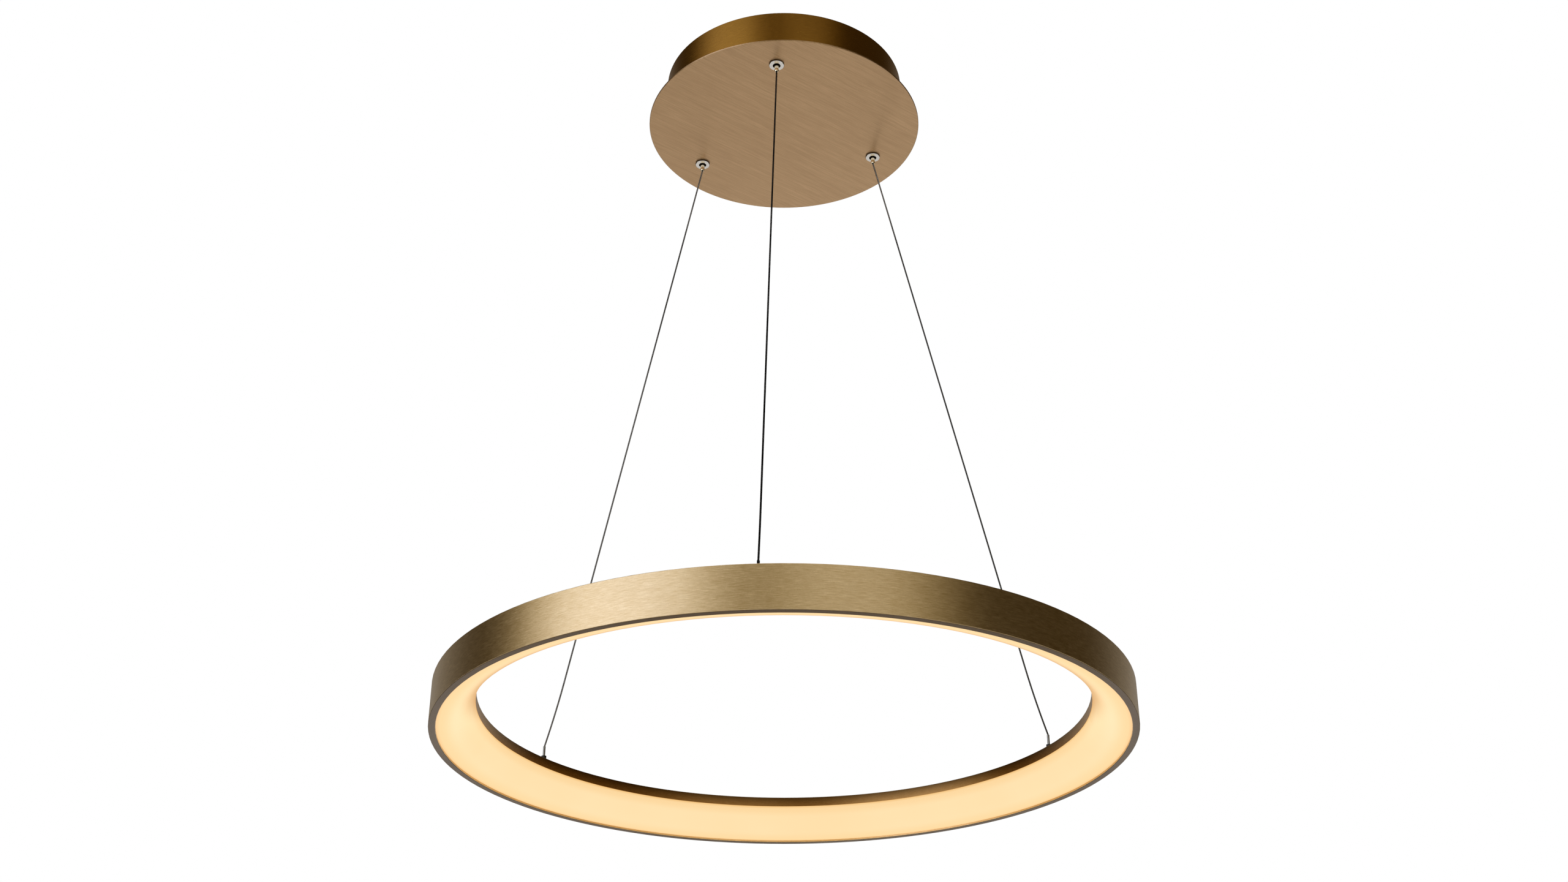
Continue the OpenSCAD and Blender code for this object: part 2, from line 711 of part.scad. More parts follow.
module terminal_block() {
  color("white") difference() {
    union() {
      for (i = [0 : poles - 1]) translate([pole_x(i) - pole_pitch / 2 + 0.6, block_y - block_w / 2,
        plate_top]) cube([pole_pitch - 1.2, block_w, block_h]);
      translate([-block_l / 2, block_y - block_w / 2 + 2, plate_top])
        cube([block_l + block_foot, block_w - 4, lug_t]);
    }
    for (i = [0 : poles - 1]) translate([pole_x(i), 0, 0]) {
      translate([0, block_y - block_w / 2 - 1, terminal_z]) rotate([-90, 0, 0])
        cylinder(r = lead_r + 0.2, h = block_w + 2);
      for (s = [-1, 1]) translate([0, block_y + s * block_w / 4, 0])
        disc(1.9, terminal_z, plate_top + block_h + eps);
    }
    translate([block_l / 2 + block_foot / 2, block_y, 0])
      disc(lug_stud_d / 2 + 0.3, plate_top - eps, plate_top + lug_t + eps);
  }
}

module terminal_screws() {
  color("silver") for (i = [0 : poles - 1], s = [-1, 1])
    translate([pole_x(i), block_y + s * block_w / 4, 0]) difference() {
      disc(1.8, terminal_z + lead_r + 0.3, plate_top + block_h - 2);
      translate([-2, -0.3, plate_top + block_h - 2.8]) cube([4, 0.6, 1]);
    }
}

module terminal_nut() {
  color("silver") translate([block_l / 2 + block_foot / 2, block_y, 0])
    hex_nut(5.5, lug_stud_d / 2 + thread_gap, plate_top + lug_t, plate_top + lug_t + 2.4);
}

// Earth screw and its tag under the bracket
earth_tag_t = 0.8;
earth_tag_z = -bracket_t - earth_tag_t;

module earth_screw() {
  color("gold") translate([earth_x, 0, 0]) difference() {
    union() {
      disc(screw_d / 2, earth_tag_z, -0.2);
      disc(screw_d / 2 + 1.8, earth_tag_z - 2.4, earth_tag_z);
    }
    translate([-5, -0.4, earth_tag_z - 2.4 - eps]) cube([10, 0.8, 1]);
  }
}

module earth_tag() {
  color("gold") translate([earth_x, 0, 0]) difference() {
    union() {
      disc(screw_d / 2 + 2.2, earth_tag_z, -bracket_t);
      translate([-1.5, -12, earth_tag_z]) cube([3, 12, earth_tag_t]);
      translate([0, -12, earth_tag_z - lead_r]) rotate([-90, 0, 0]) cylinder(r = lead_r + 0.5, h = 4);
    }
    disc(screw_d / 2 + thread_gap, earth_tag_z - 5, 0);
  }
}

// Leads inside the canopy, laid by hand between their terminals
terminal_back = block_y + block_w / 2;
left_end = -driver_l / 2 - grommet_l;
right_end = driver_l / 2 + grommet_l;

module mains_leads() {
  color("sienna") for (i = [0, 1]) swept_tube(smooth([
    [pole_x(i), terminal_back - 2, terminal_z], [pole_x(i), terminal_back, terminal_z],
    [pole_x(i), terminal_back + 2, terminal_z],
    [pole_x(i) - 5, terminal_back + 4.5 + 2.5 * i, terminal_z - 0.5],
    [-30, terminal_back + 6 + 4 * i, terminal_z - 1],
    [-60, terminal_back + 2 + 4 * i, -38],
    [left_end - 14 + 4 * i, -30, -36], [left_end - 16 + 4 * i, -6, -35],
    [left_end - 6, 8 + mains_gap * (0.5 - i), grommet_z],
    [left_end - 1, 8 + mains_gap * (0.5 - i), grommet_z],
    [left_end + 1.8, 8 + mains_gap * (0.5 - i), grommet_z]
  ], 3), lead_r);
}

module earth_lead() {
  color("limegreen") swept_tube(smooth([
    [pole_x(2), terminal_back - 2, terminal_z], [pole_x(2), terminal_back, terminal_z],
    [pole_x(2), terminal_back + 3, terminal_z], [30, terminal_back + 8, terminal_z + 2],
    [60, -38, -26], [80, -32, -12], [earth_x, -22, earth_tag_z - lead_r],
    [earth_x, -17, earth_tag_z - lead_r], [earth_x, -12, earth_tag_z - lead_r]
  ], 3), lead_r);
}

module output_leads() {
  right_stop = [gripper_r * cos(wire_turn + 120), gripper_r * sin(wire_turn + 120), stop_top];
  left_stop = [gripper_r * cos(wire_turn + 240), gripper_r * sin(wire_turn + 240), stop_top];
  color("crimson") {
    swept_tube(smooth([
      [right_end - 1.8, mains_gap / 2 - 8, grommet_z], [right_end + 1, mains_gap / 2 - 8, grommet_z],
      [right_end + 5, mains_gap / 2 - 8, grommet_z],
      [right_end + 14, 2, grommet_z], [96, 18, -24], [99, 32, -14],
      right_stop + [4, -4, 4], right_stop + [0, 0, 3], right_stop, right_stop - [0, 0, 1.6]
    ], 3), lead_r);
    swept_tube(smooth([
      [right_end - 1.8, -mains_gap / 2 - 8, grommet_z],
      [right_end + 1, -mains_gap / 2 - 8, grommet_z],
      [right_end + 6, -mains_gap / 2 - 8, grommet_z],
      [right_end + 13, -4, grommet_z - 4], [right_end + 10, 16, -39], [66, 34, -42],
      [30, 40, -44], [-20, 40, -44], [-56, 40, -40], [-66, 44, -26],
      left_stop + [10, -5, 3], left_stop + [3, -1, 5], left_stop + [0, 0, 3],
      left_stop, left_stop - [0, 0, 1.6]
    ], 3), lead_r);
  }
}

ceiling_bracket();
canopy_drum();
canopy_plate();
plate_studs();
tab_nuts();
side_screws();
led_driver();
driver_nuts();
terminal_block();
terminal_screws();
terminal_nut();
earth_screw();
earth_tag();
mains_leads();
earth_lead();
output_leads();
gripper_body_front();
gripper_body_right();
gripper_body_left();
gripper_cap_front();
gripper_cap_right();
gripper_cap_left();
gripper_bushes();
gripper_nuts();
release_plunger_front();
release_plunger_right();
release_plunger_left();
gripping_balls_front();
gripping_balls_right();
gripping_balls_left();
plunger_spring_front();
plunger_spring_right();
plunger_spring_left();
wire_tails();
wire_end_stops();
suspension_wire_front();
suspension_wire_right();
suspension_wire_left();
ring_profile();
opal_cover();
led_strip();
led_chips();
strip_leads();
wire_anchor_front();
wire_anchor_right();
wire_anchor_left();
wire_ferrule_front();
wire_ferrule_right();
wire_ferrule_left();
anchor_bushes();
anchor_washers();
anchor_nuts();
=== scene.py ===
"""Looks for a ring pendant light: brushed gold, a lit opal cover and stranded wires.

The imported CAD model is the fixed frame. Every size here is in metres, in that frame:
the origin is the centre of the canopy on the ceiling plane, +Z points up and the
photograph looks along +Y.
"""

from __future__ import annotations

import json
import logging
import math
from dataclasses import dataclass, field
from enum import Enum

import bmesh
import bpy
from mathutils import Matrix, Vector

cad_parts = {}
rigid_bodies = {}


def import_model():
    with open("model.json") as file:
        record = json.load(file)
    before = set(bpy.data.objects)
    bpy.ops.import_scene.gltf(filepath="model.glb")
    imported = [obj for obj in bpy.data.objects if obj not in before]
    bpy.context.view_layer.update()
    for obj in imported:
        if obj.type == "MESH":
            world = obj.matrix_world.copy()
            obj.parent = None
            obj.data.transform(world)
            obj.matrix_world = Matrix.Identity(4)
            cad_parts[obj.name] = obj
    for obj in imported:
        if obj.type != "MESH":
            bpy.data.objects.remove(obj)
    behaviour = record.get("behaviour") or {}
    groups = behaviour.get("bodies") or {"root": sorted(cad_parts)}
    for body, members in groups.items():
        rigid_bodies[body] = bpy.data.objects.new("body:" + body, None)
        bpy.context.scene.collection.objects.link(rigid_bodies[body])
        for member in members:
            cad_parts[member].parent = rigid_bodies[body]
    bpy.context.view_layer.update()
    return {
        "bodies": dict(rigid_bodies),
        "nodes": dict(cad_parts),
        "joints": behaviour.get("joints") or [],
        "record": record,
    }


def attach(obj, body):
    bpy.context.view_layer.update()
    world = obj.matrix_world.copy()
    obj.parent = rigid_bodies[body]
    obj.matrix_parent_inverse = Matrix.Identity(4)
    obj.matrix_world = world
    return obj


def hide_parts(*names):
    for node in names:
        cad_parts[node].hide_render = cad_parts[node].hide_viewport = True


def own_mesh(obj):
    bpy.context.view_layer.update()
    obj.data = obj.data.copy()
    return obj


LOG = logging.getLogger("ring_pendant")

Colour = tuple[float, float, float]

FRONT_WIRE_TURN = -94.0  # direction of the front wire seen from above, in degrees

# Parts of a noise value's range that are stretched to run from 0 to 1
FINE_NOISE = (0.28, 0.72)
BROAD_NOISE = (0.3, 0.7)

EDGE = 0.0002  # width over which one tone goes over into another, in metres

# Places of a colour Mix node's share, first colour, second colour and result
MIX_INPUTS = (0, 6, 7)
MIX_RESULT = 2


class Wire(Enum):
    """The three suspension wires, by their place round the canopy."""

    FRONT = "front"
    RIGHT = "right"
    LEFT = "left"

    @property
    def angle(self) -> float:
        """Direction of the wire seen from above, in radians."""
        place = list(Wire).index(self)
        return math.radians(FRONT_WIRE_TURN + place * 360.0 / len(Wire))


class Grain(Enum):
    """Direction in which a metal face is brushed."""

    AROUND = "around"
    STRAIGHT = "straight"


# Node helpers


@dataclass
class Sketch:
    """Adds and joins nodes in one node tree.

    Args:
        tree: the node tree of a material, a world or a group.
    """

    tree: bpy.types.NodeTree

    def add(self, kind: str, **settings: object) -> bpy.types.Node:
        """Adds a node.

        Args:
            kind: the node's type name.
            **settings: its own properties, such as operation.

        Returns:
            The new node.
        """
        made = self.tree.nodes.new(kind)
        for name, value in settings.items():
            setattr(made, name, value)
        return made

    def join(self, source: bpy.types.NodeSocket, target: bpy.types.NodeSocket) -> None:
        """Links an output to an input."""
        self.tree.links.new(source, target)

    def feed(self, node: bpy.types.Node, key: int | str, value: object) -> None:
        """Sets an input to a number or a colour, or links an output to it.

        Args:
            node: the node whose input it is.
            key: the input's name or place.
            value: the number, colour or output.
        """
        if isinstance(value, bpy.types.NodeSocket):
            self.join(value, node.inputs[key])
        else:
            node.inputs[key].default_value = value

    def sum(self, operation: str, *values: object, clamp: bool = False) -> bpy.types.NodeSocket:
        """Adds a Math node.

        Args:
            operation: the node's operation, such as ADD.
            *values: numbers or outputs for its inputs, in order.
            clamp: keeps the result between 0 and 1.

        Returns:
            The node's output.
        """
        node = self.add("ShaderNodeMath", operation=operation, use_clamp=clamp)
        for index, value in enumerate(values):
            self.feed(node, index, value)
        return node.outputs[0]

    def vector(self, operation: str, *values: object) -> bpy.types.Node:
        """Adds a Vector Math node.

        Args:
            operation: the node's operation, such as NORMALIZE.
            *values: vectors or outputs for its inputs, in order.

        Returns:
            The node.
        """
        node = self.add("ShaderNodeVectorMath", operation=operation)
        for index, value in enumerate(values):
            self.feed(node, index, value)
        return node

    def spread(self, value: object, low: float, high: float, to_low: float = 0.0,
               to_high: float = 1.0, smooth: bool = False) -> bpy.types.NodeSocket:
        """Maps a value's range onto another one.

        Args:
            value: the number or output to map.
            low: the value that gives to_low.
            high: the value that gives to_high.
            to_low: the result at low.
            to_high: the result at high.
            smooth: eases in and out at both ends.

        Returns:
            The mapped value, kept inside the new range.
        """
        node = self.add("ShaderNodeMapRange", clamp=True,
                        interpolation_type="SMOOTHSTEP" if smooth else "LINEAR")
        for index, number in enumerate((value, low, high, to_low, to_high)):
            self.feed(node, index, number)
        return node.outputs[0]

    def mix(self, share: object, first: object, second: object,
            blend: str = "MIX") -> bpy.types.NodeSocket:
        """Mixes two colours.

        Args:
            share: how much of the second colour there is.
            first: the first colour.
            second: the second colour.
            blend: how they are mixed, such as MULTIPLY.

        Returns:
            The mixed colour.
        """
        node = self.add("ShaderNodeMix", data_type="RGBA", blend_type=blend)
        for key, value in zip(MIX_INPUTS, (share, first, second)):
            self.feed(node, key, value)
        return node.outputs[MIX_RESULT]

    def noise(self, where: object, scale: float, detail: float = 2.0,
              rough: float = 0.5) -> bpy.types.NodeSocket:
        """Adds a Noise Texture.

        Args:
            where: the place at which it is read.
            scale: how often it changes along that place.
            detail: number of finer layers.
            rough: strength of those layers.

        Returns:
            The noise's value.
        """
        node = self.add("ShaderNodeTexNoise", noise_dimensions="3D")
        self.feed(node, "Vector", where)
        node.inputs["Scale"].default_value = scale
        node.inputs["Detail"].default_value = detail
        node.inputs["Roughness"].default_value = rough
        return node.outputs["Fac"]

    def stops(self, value: object,
              colours: list[tuple[float, Colour]]) -> bpy.types.NodeSocket:
        """Adds a Color Ramp that eases between its colours.

        Args:
            value: the number or output that runs along the ramp.
            colours: pairs of a place from 0 to 1 and a linear colour.

        Returns:
            The ramp's colour.
        """
        node = self.add("ShaderNodeValToRGB")
        ramp = node.color_ramp
        ramp.interpolation = "EASE"
        while len(ramp.elements) < len(colours):
            ramp.elements.new(0.5)
        for element, (place, colour) in zip(ramp.elements, colours):
            element.position = place
            element.color = (*colour, 1.0)
        self.feed(node, 0, value)
        return node.outputs[0]

    def here(self) -> bpy.types.NodeSocket:
        """The Object coordinate of the shaded point."""
        return self.add("ShaderNodeTexCoord").outputs["Object"]

    def height(self) -> bpy.types.NodeSocket:
        """Reads how high the shaded point lies.

        Returns:
            Its height in the lamp's frame.
        """
        parts = self.add("ShaderNodeSeparateXYZ")
        self.join(self.here(), parts.inputs[0])
        return parts.outputs[2]

    def flat(self) -> bpy.types.NodeSocket:
        """The shaded point's place, brought down to height 0."""
        return self.vector("MULTIPLY", self.here(), (1.0, 1.0, 0.0)).outputs[0]

    def reach(self) -> bpy.types.NodeSocket:
        """Distance of the shaded point from the lamp's axis."""
        return self.vector("LENGTH", self.flat()).outputs["Value"]

    def between(self, share: bpy.types.NodeSocket, low: float,
                high: float) -> bpy.types.NodeSocket:
        """Turns a share from 0 to 1 into a value between two others."""
        return self.spread(share, 0.0, 1.0, low, high)

    def facing(self) -> bpy.types.NodeSocket:
        """Reads how the surface is turned to the one who looks.

        Returns:
            A value that rises from 0, seen square on, to 1, seen edge-on.
        """
        weight = self.add("ShaderNodeLayerWeight")
        weight.inputs["Blend"].default_value = 0.5
        return weight.outputs["Facing"]

    def relief(self, shader: bpy.types.Node, pattern: bpy.types.NodeSocket,
               strength: float, depth: float) -> None:
        """Presses a pattern into the surface.

        Args:
            shader: the material's shader.
            pattern: the pattern, from 0 to 1.
            strength: strength of the relief.
            depth: depth of the relief, in metres.
        """
        bump = self.add("ShaderNodeBump")
        for key, value in (("Strength", strength), ("Distance", depth), ("Height", pattern)):
            self.feed(bump, key, value)
        self.join(bump.outputs[0], shader.inputs["Normal"])


def linear(red: int, green: int, blue: int) -> Colour:
    """Turns a display colour of 0 to 255 a channel into a linear one.

    Args:
        red: its red.
        green: its green.
        blue: its blue.

    Returns:
        The linear colour.
    """
    def channel(value: int) -> float:
        """One channel's linear value."""
        share = value / 255.0
        return share / 12.92 if share <= 0.04045 else ((share + 0.055) / 1.055) ** 2.4

    return channel(red), channel(green), channel(blue)


# Shared effects


@dataclass
class Effects:
    """Node groups that several finishes share, each built once.

    Args:
        radial_shift: how far the grain on a flat face moves inward for its height.
        straight_breaks: how often a straight scratch is broken, per metre.
        straight_layers: how often a straight grain changes with height, per metre.
        made: the groups built so far, by name.
    """

    radial_shift: float = 1.37
    straight_breaks: float = 34.0
    straight_layers: float = 300.0
    made: dict[str, bpy.types.NodeTree] = field(default_factory=dict)

    def _start(self, name: str, inputs: dict[str, float],
               outputs: list[str]) -> tuple[bpy.types.NodeTree, Sketch]:
        """Makes an empty group with named value sockets.

        Args:
            name: the group's name.
            inputs: input names with their default values.
            outputs: output names.

        Returns:
            The group and a sketch of it.
        """
        tree = bpy.data.node_groups.new(name, "ShaderNodeTree")
        for title, value in inputs.items():
            socket = tree.interface.new_socket(title, in_out="INPUT", socket_type="NodeSocketFloat")
            socket.default_value = value
        for title in outputs:
            tree.interface.new_socket(title, in_out="OUTPUT", socket_type="NodeSocketFloat")
        self.made[name] = tree
        return tree, Sketch(tree)

    def _scratches(self, sketch: Sketch, where: bpy.types.NodeSocket,
                   widen: tuple[float, float, float]) -> None:
        """Gives a grain group its outputs, Scratches and Bands.

        Args:
            sketch: the group's sketch.
            where: the place on the surface, stretched along the grain.
            widen: what each axis of that place is multiplied by for the broad bands.
        """
        fine = sketch.noise(where, scale=1.0, detail=3.0, rough=0.65)
        broad = sketch.noise(sketch.vector("MULTIPLY", where, widen).outputs[0], scale=1.0)
        out = sketch.add("NodeGroupOutput")
        sketch.join(sketch.spread(fine, *FINE_NOISE), out.inputs["Scratches"])
        sketch.join(sketch.spread(broad, *BROAD_NOISE), out.inputs["Bands"])

    def around_grain(self) -> bpy.types.NodeTree:
        """Fine scratches that run round the lamp's vertical axis.

        Returns:
            The group: Streaks per turn and Fineness in, Scratches and Bands out.
        """
        if "around_grain" in self.made:
            return self.made["around_grain"]
        tree, sketch = self._start("around_grain", {"Streaks": 12.0, "Fineness": 1800.0},
                                   ["Scratches", "Bands"])
        given = sketch.add("NodeGroupInput")
        heading = sketch.add("ShaderNodeSeparateXYZ")
        sketch.join(sketch.vector("NORMALIZE", sketch.flat()).outputs[0], heading.inputs[0])
        shift = sketch.sum("MULTIPLY", sketch.reach(), self.radial_shift)
        across = sketch.sum("MULTIPLY", sketch.sum("ADD", sketch.height(), shift),
                            given.outputs["Fineness"])
        where = sketch.add("ShaderNodeCombineXYZ")
        for index in (0, 1):
            sketch.join(sketch.sum("MULTIPLY", heading.outputs[index], given.outputs["Streaks"]),
                        where.inputs[index])
        sketch.join(across, where.inputs[2])
        self._scratches(sketch, where.outputs[0], (0.5, 0.5, 0.16))
        return tree

    def straight_grain(self) -> bpy.types.NodeTree:
        """Fine parallel scratches on a flat face.

        Returns:
            The group: Turn and Fineness in, Scratches and Bands out.
        """
        if "straight_grain" in self.made:
            return self.made["straight_grain"]
        tree, sketch = self._start("straight_grain", {"Turn": 0.66, "Fineness": 1500.0},
                                   ["Scratches", "Bands"])
        given = sketch.add("NodeGroupInput")
        turned = sketch.add("ShaderNodeVectorRotate", rotation_type="Z_AXIS")
        sketch.join(sketch.here(), turned.inputs["Vector"])
        sketch.join(sketch.sum("MULTIPLY", given.outputs["Turn"], -1.0), turned.inputs["Angle"])
        parts = sketch.add("ShaderNodeSeparateXYZ")
        sketch.join(turned.outputs[0], parts.inputs[0])
        where = sketch.add("ShaderNodeCombineXYZ")
        counts = (self.straight_breaks, given.outputs["Fineness"], self.straight_layers)
        for index, count in enumerate(counts):
            sketch.join(sketch.sum("MULTIPLY", parts.outputs[index], count), where.inputs[index])
        self._scratches(sketch, where.outputs[0], (0.35, 0.14, 1.0))
        return tree

    def mottle(self) -> bpy.types.NodeTree:
        """Soft blotches and fine specks, for moulded and plated faces.

        Returns:
            The group: Size and Speck in, Blotches and Specks out.
        """
        if "mottle" in self.made:
            return self.made["mottle"]
        tree, sketch = self._start("mottle", {"Size": 60.0, "Speck": 2600.0},
                                   ["Blotches", "Specks"])
        given = sketch.add("NodeGroupInput")
        place = sketch.here()
        blotch = sketch.add("ShaderNodeTexNoise")
        sketch.join(place, blotch.inputs["Vector"])
        sketch.join(given.outputs["Size"], blotch.inputs["Scale"])
        blotch.inputs["Detail"].default_value = 3.0
        speck = sketch.add("ShaderNodeTexNoise")
        sketch.join(place, speck.inputs["Vector"])
        sketch.join(given.outputs["Speck"], speck.inputs["Scale"])
        out = sketch.add("NodeGroupOutput")
        sketch.join(sketch.spread(blotch.outputs["Fac"], *BROAD_NOISE), out.inputs["Blotches"])
        sketch.join(sketch.spread(speck.outputs["Fac"], *BROAD_NOISE), out.inputs["Specks"])
        return tree

    def place(self, sketch: Sketch, tree: bpy.types.NodeTree,
              **values: float) -> bpy.types.Node:
        """Puts a group into a material.

        Args:
            sketch: the material's sketch.
            tree: the group.
            **values: its input values, by name.

        Returns:
            The group's node.
        """
        node = sketch.add("ShaderNodeGroup", node_tree=tree)
        for name, value in values.items():
            node.inputs[name].default_value = value
        return node


EFFECTS = Effects()


def blank(name: str) -> tuple[bpy.types.Material, Sketch, bpy.types.Node]:
    """Makes a material with one Principled shader.

    Args:
        name: the material's name.

    Returns:
        The material, a sketch of its nodes and its shader.
    """
    material = bpy.data.materials.new(name)
    material.use_nodes = True
    sketch = Sketch(material.node_tree)
    shader = next(n for n in sketch.tree.nodes if n.type == "BSDF_PRINCIPLED")
    return material, sketch, shader


# Finishes


@dataclass(frozen=True)
class BrushedGold:
    """Gold-coloured metal with a brushed grain.

    Args:
        name: the material's name.
        grain: the direction of the brushing.
        bright: colour of the metal between its scratches.
        deep: colour in the scratches.
        rough: mean roughness.
        stretch: how far a highlight is drawn across the grain.
        fineness: scratches per metre, across the grain.
        streaks: how often a scratch is broken along its way round.
        fleck: share of the deep colour in specks.
        bump: strength of the scratches' relief.
        turn: direction of a straight grain, in radians.
        band: share of the deep colour in broad bands.
        stain_size: blotches per metre.
        speck_size: specks per metre.
        scratch_rough: how much a scratch changes the roughness.
        stain_rough: how much a blotch changes the roughness.
        depth: depth of the scratches, in metres.
        inner: radius inside which the finish gets painted shade and a painted glow.
        inner_tone: the painted shade that the finish is multiplied by there.
        inner_glow: a painted glow for the opal cover's light that the grain scatters there.
        inner_heights: heights between which the painted shade on the inner face gets darker.
        inner_top: share of the painted shade's tone and of the painted glow that is left at the
            upper one.
        graze: range of the Facing value in which the painted shade on the inner face fades and the
            face gets its colour back.
        graze_share: how much of its colour it gets back.
        under: height below which the finish gets painted shade.
        under_tone: the painted shade that the finish is multiplied by there.
    """

    name: str
    grain: Grain
    bright: Colour
    deep: Colour
    rough: float = 0.34
    stretch: float = 0.75
    fineness: float = 1800.0
    streaks: float = 24.0
    fleck: float = 0.3
    bump: float = 0.08
    turn: float = math.radians(38.0)
    band: float = 0.3
    stain_size: float = 14.0
    speck_size: float = 900.0
    scratch_rough: float = 0.05
    stain_rough: float = 0.03
    depth: float = 0.00002
    inner: float = 0.0
    inner_tone: Colour = (0.39, 0.285, 0.165)
    inner_glow: Colour = (0.045, 0.014, 0.001)
    inner_heights: tuple[float, float] = (-0.6556, -0.6472)
    inner_top: float = 0.25
    graze: tuple[float, float] = (0.35, 0.8)
    graze_share: float = 0.6
    under: float = -1.0
    under_tone: Colour = (0.15, 0.11, 0.06)

    def _shade(self, sketch: Sketch, shader: bpy.types.Node,
               colour: bpy.types.NodeSocket) -> bpy.types.NodeSocket:
        """Darkens the ring's inner face and its underside.

        Args:
            sketch: the material's sketch.
            shader: the material's shader.
            colour: the finish elsewhere.

        Returns:
            The finish with painted shade on its inner face and its underside.
        """
        height = sketch.height()
        # Painted shade on the inner face, darker toward its top, and a painted glow there.
        inside = sketch.spread(sketch.reach(), self.inner, self.inner + 2 * EDGE, 1.0, 0.0)
        beneath = sketch.spread(height, self.under, self.under + EDGE, 1.0, 0.0)
        dim = sketch.spread(height, *self.inner_heights, 1.0, self.inner_top)
        brown = sketch.vector("SCALE", self.inner_tone)
        sketch.join(dim, brown.inputs["Scale"])
        # Painted glow: emission on the metal for the opal cover's light.
        glow = sketch.vector("SCALE", self.inner_glow)
        sketch.join(sketch.sum("MULTIPLY", inside, dim), glow.inputs["Scale"])
        sketch.join(glow.outputs[0], shader.inputs["Emission Color"])
        shader.inputs["Emission Strength"].default_value = 1.0
        # The painted shade on the inner face fades at grazing angles.
        graze = sketch.spread(sketch.facing(), *self.graze, 0.0, self.graze_share)
        tone = sketch.mix(graze, brown.outputs[0], (1.0, 1.0, 1.0, 1.0))
        colour = sketch.mix(inside, colour, sketch.mix(1.0, colour, tone, "MULTIPLY"))
        # Painted shade on the ring's underside.
        darkened = sketch.mix(1.0, colour, (*self.under_tone, 1.0), "MULTIPLY")
        return sketch.mix(beneath, colour, darkened)

    def _across(self, sketch: Sketch) -> bpy.types.NodeSocket:
        """Finds the direction across the grain, in which highlights are drawn out.

        Args:
            sketch: the material's sketch.

        Returns:
            That direction.
        """
        normal = sketch.add("ShaderNodeNewGeometry").outputs["Normal"]
        if self.grain is Grain.STRAIGHT:
            along = (math.cos(self.turn), math.sin(self.turn), 0.0)
            return sketch.vector("CROSS_PRODUCT", normal, along).outputs[0]
        along = sketch.vector("CROSS_PRODUCT", (0.0, 0.0, 1.0), sketch.here())
        return sketch.vector("CROSS_PRODUCT", normal, along.outputs[0]).outputs[0]

    def build(self) -> bpy.types.Material:
        """Makes the material.

        Returns:
            The brushed gold material.
        """
        material, sketch, shader = blank(self.name)
        if self.grain is Grain.AROUND:
            grain = EFFECTS.place(sketch, EFFECTS.around_grain(), Streaks=self.streaks,
                                  Fineness=self.fineness)
        else:
            grain = EFFECTS.place(sketch, EFFECTS.straight_grain(), Turn=self.turn,
                                  Fineness=self.fineness)
        stain = EFFECTS.place(sketch, EFFECTS.mottle(), Size=self.stain_size,
                              Speck=self.speck_size)
        lit = sketch.mix(grain.outputs["Scratches"], (*self.deep, 1.0), (*self.bright, 1.0))
        for mask, most in ((grain.outputs["Bands"], self.band),
                           (stain.outputs["Specks"], self.fleck)):
            share = sketch.between(mask, 0.0, most)
            lit = sketch.mix(share, lit, (*self.deep, 1.0))
        if self.inner:
            lit = self._shade(sketch, shader, lit)
        sketch.join(lit, shader.inputs["Base Color"])
        shader.inputs["Metallic"].default_value = 1.0
        shader.inputs["Anisotropic"].default_value = self.stretch
        scratched = sketch.between(grain.outputs["Scratches"], -self.scratch_rough,
                                   self.scratch_rough)
        stained = sketch.between(stain.outputs["Blotches"], -self.stain_rough,
                                 self.stain_rough)
        uneven = sketch.sum("ADD", scratched, stained)
        sketch.join(sketch.sum("ADD", uneven, self.rough, clamp=True), shader.inputs["Roughness"])
        sketch.join(self._across(sketch), shader.inputs["Tangent"])
        sketch.relief(shader, grain.outputs["Scratches"], self.bump, self.depth)
        return material


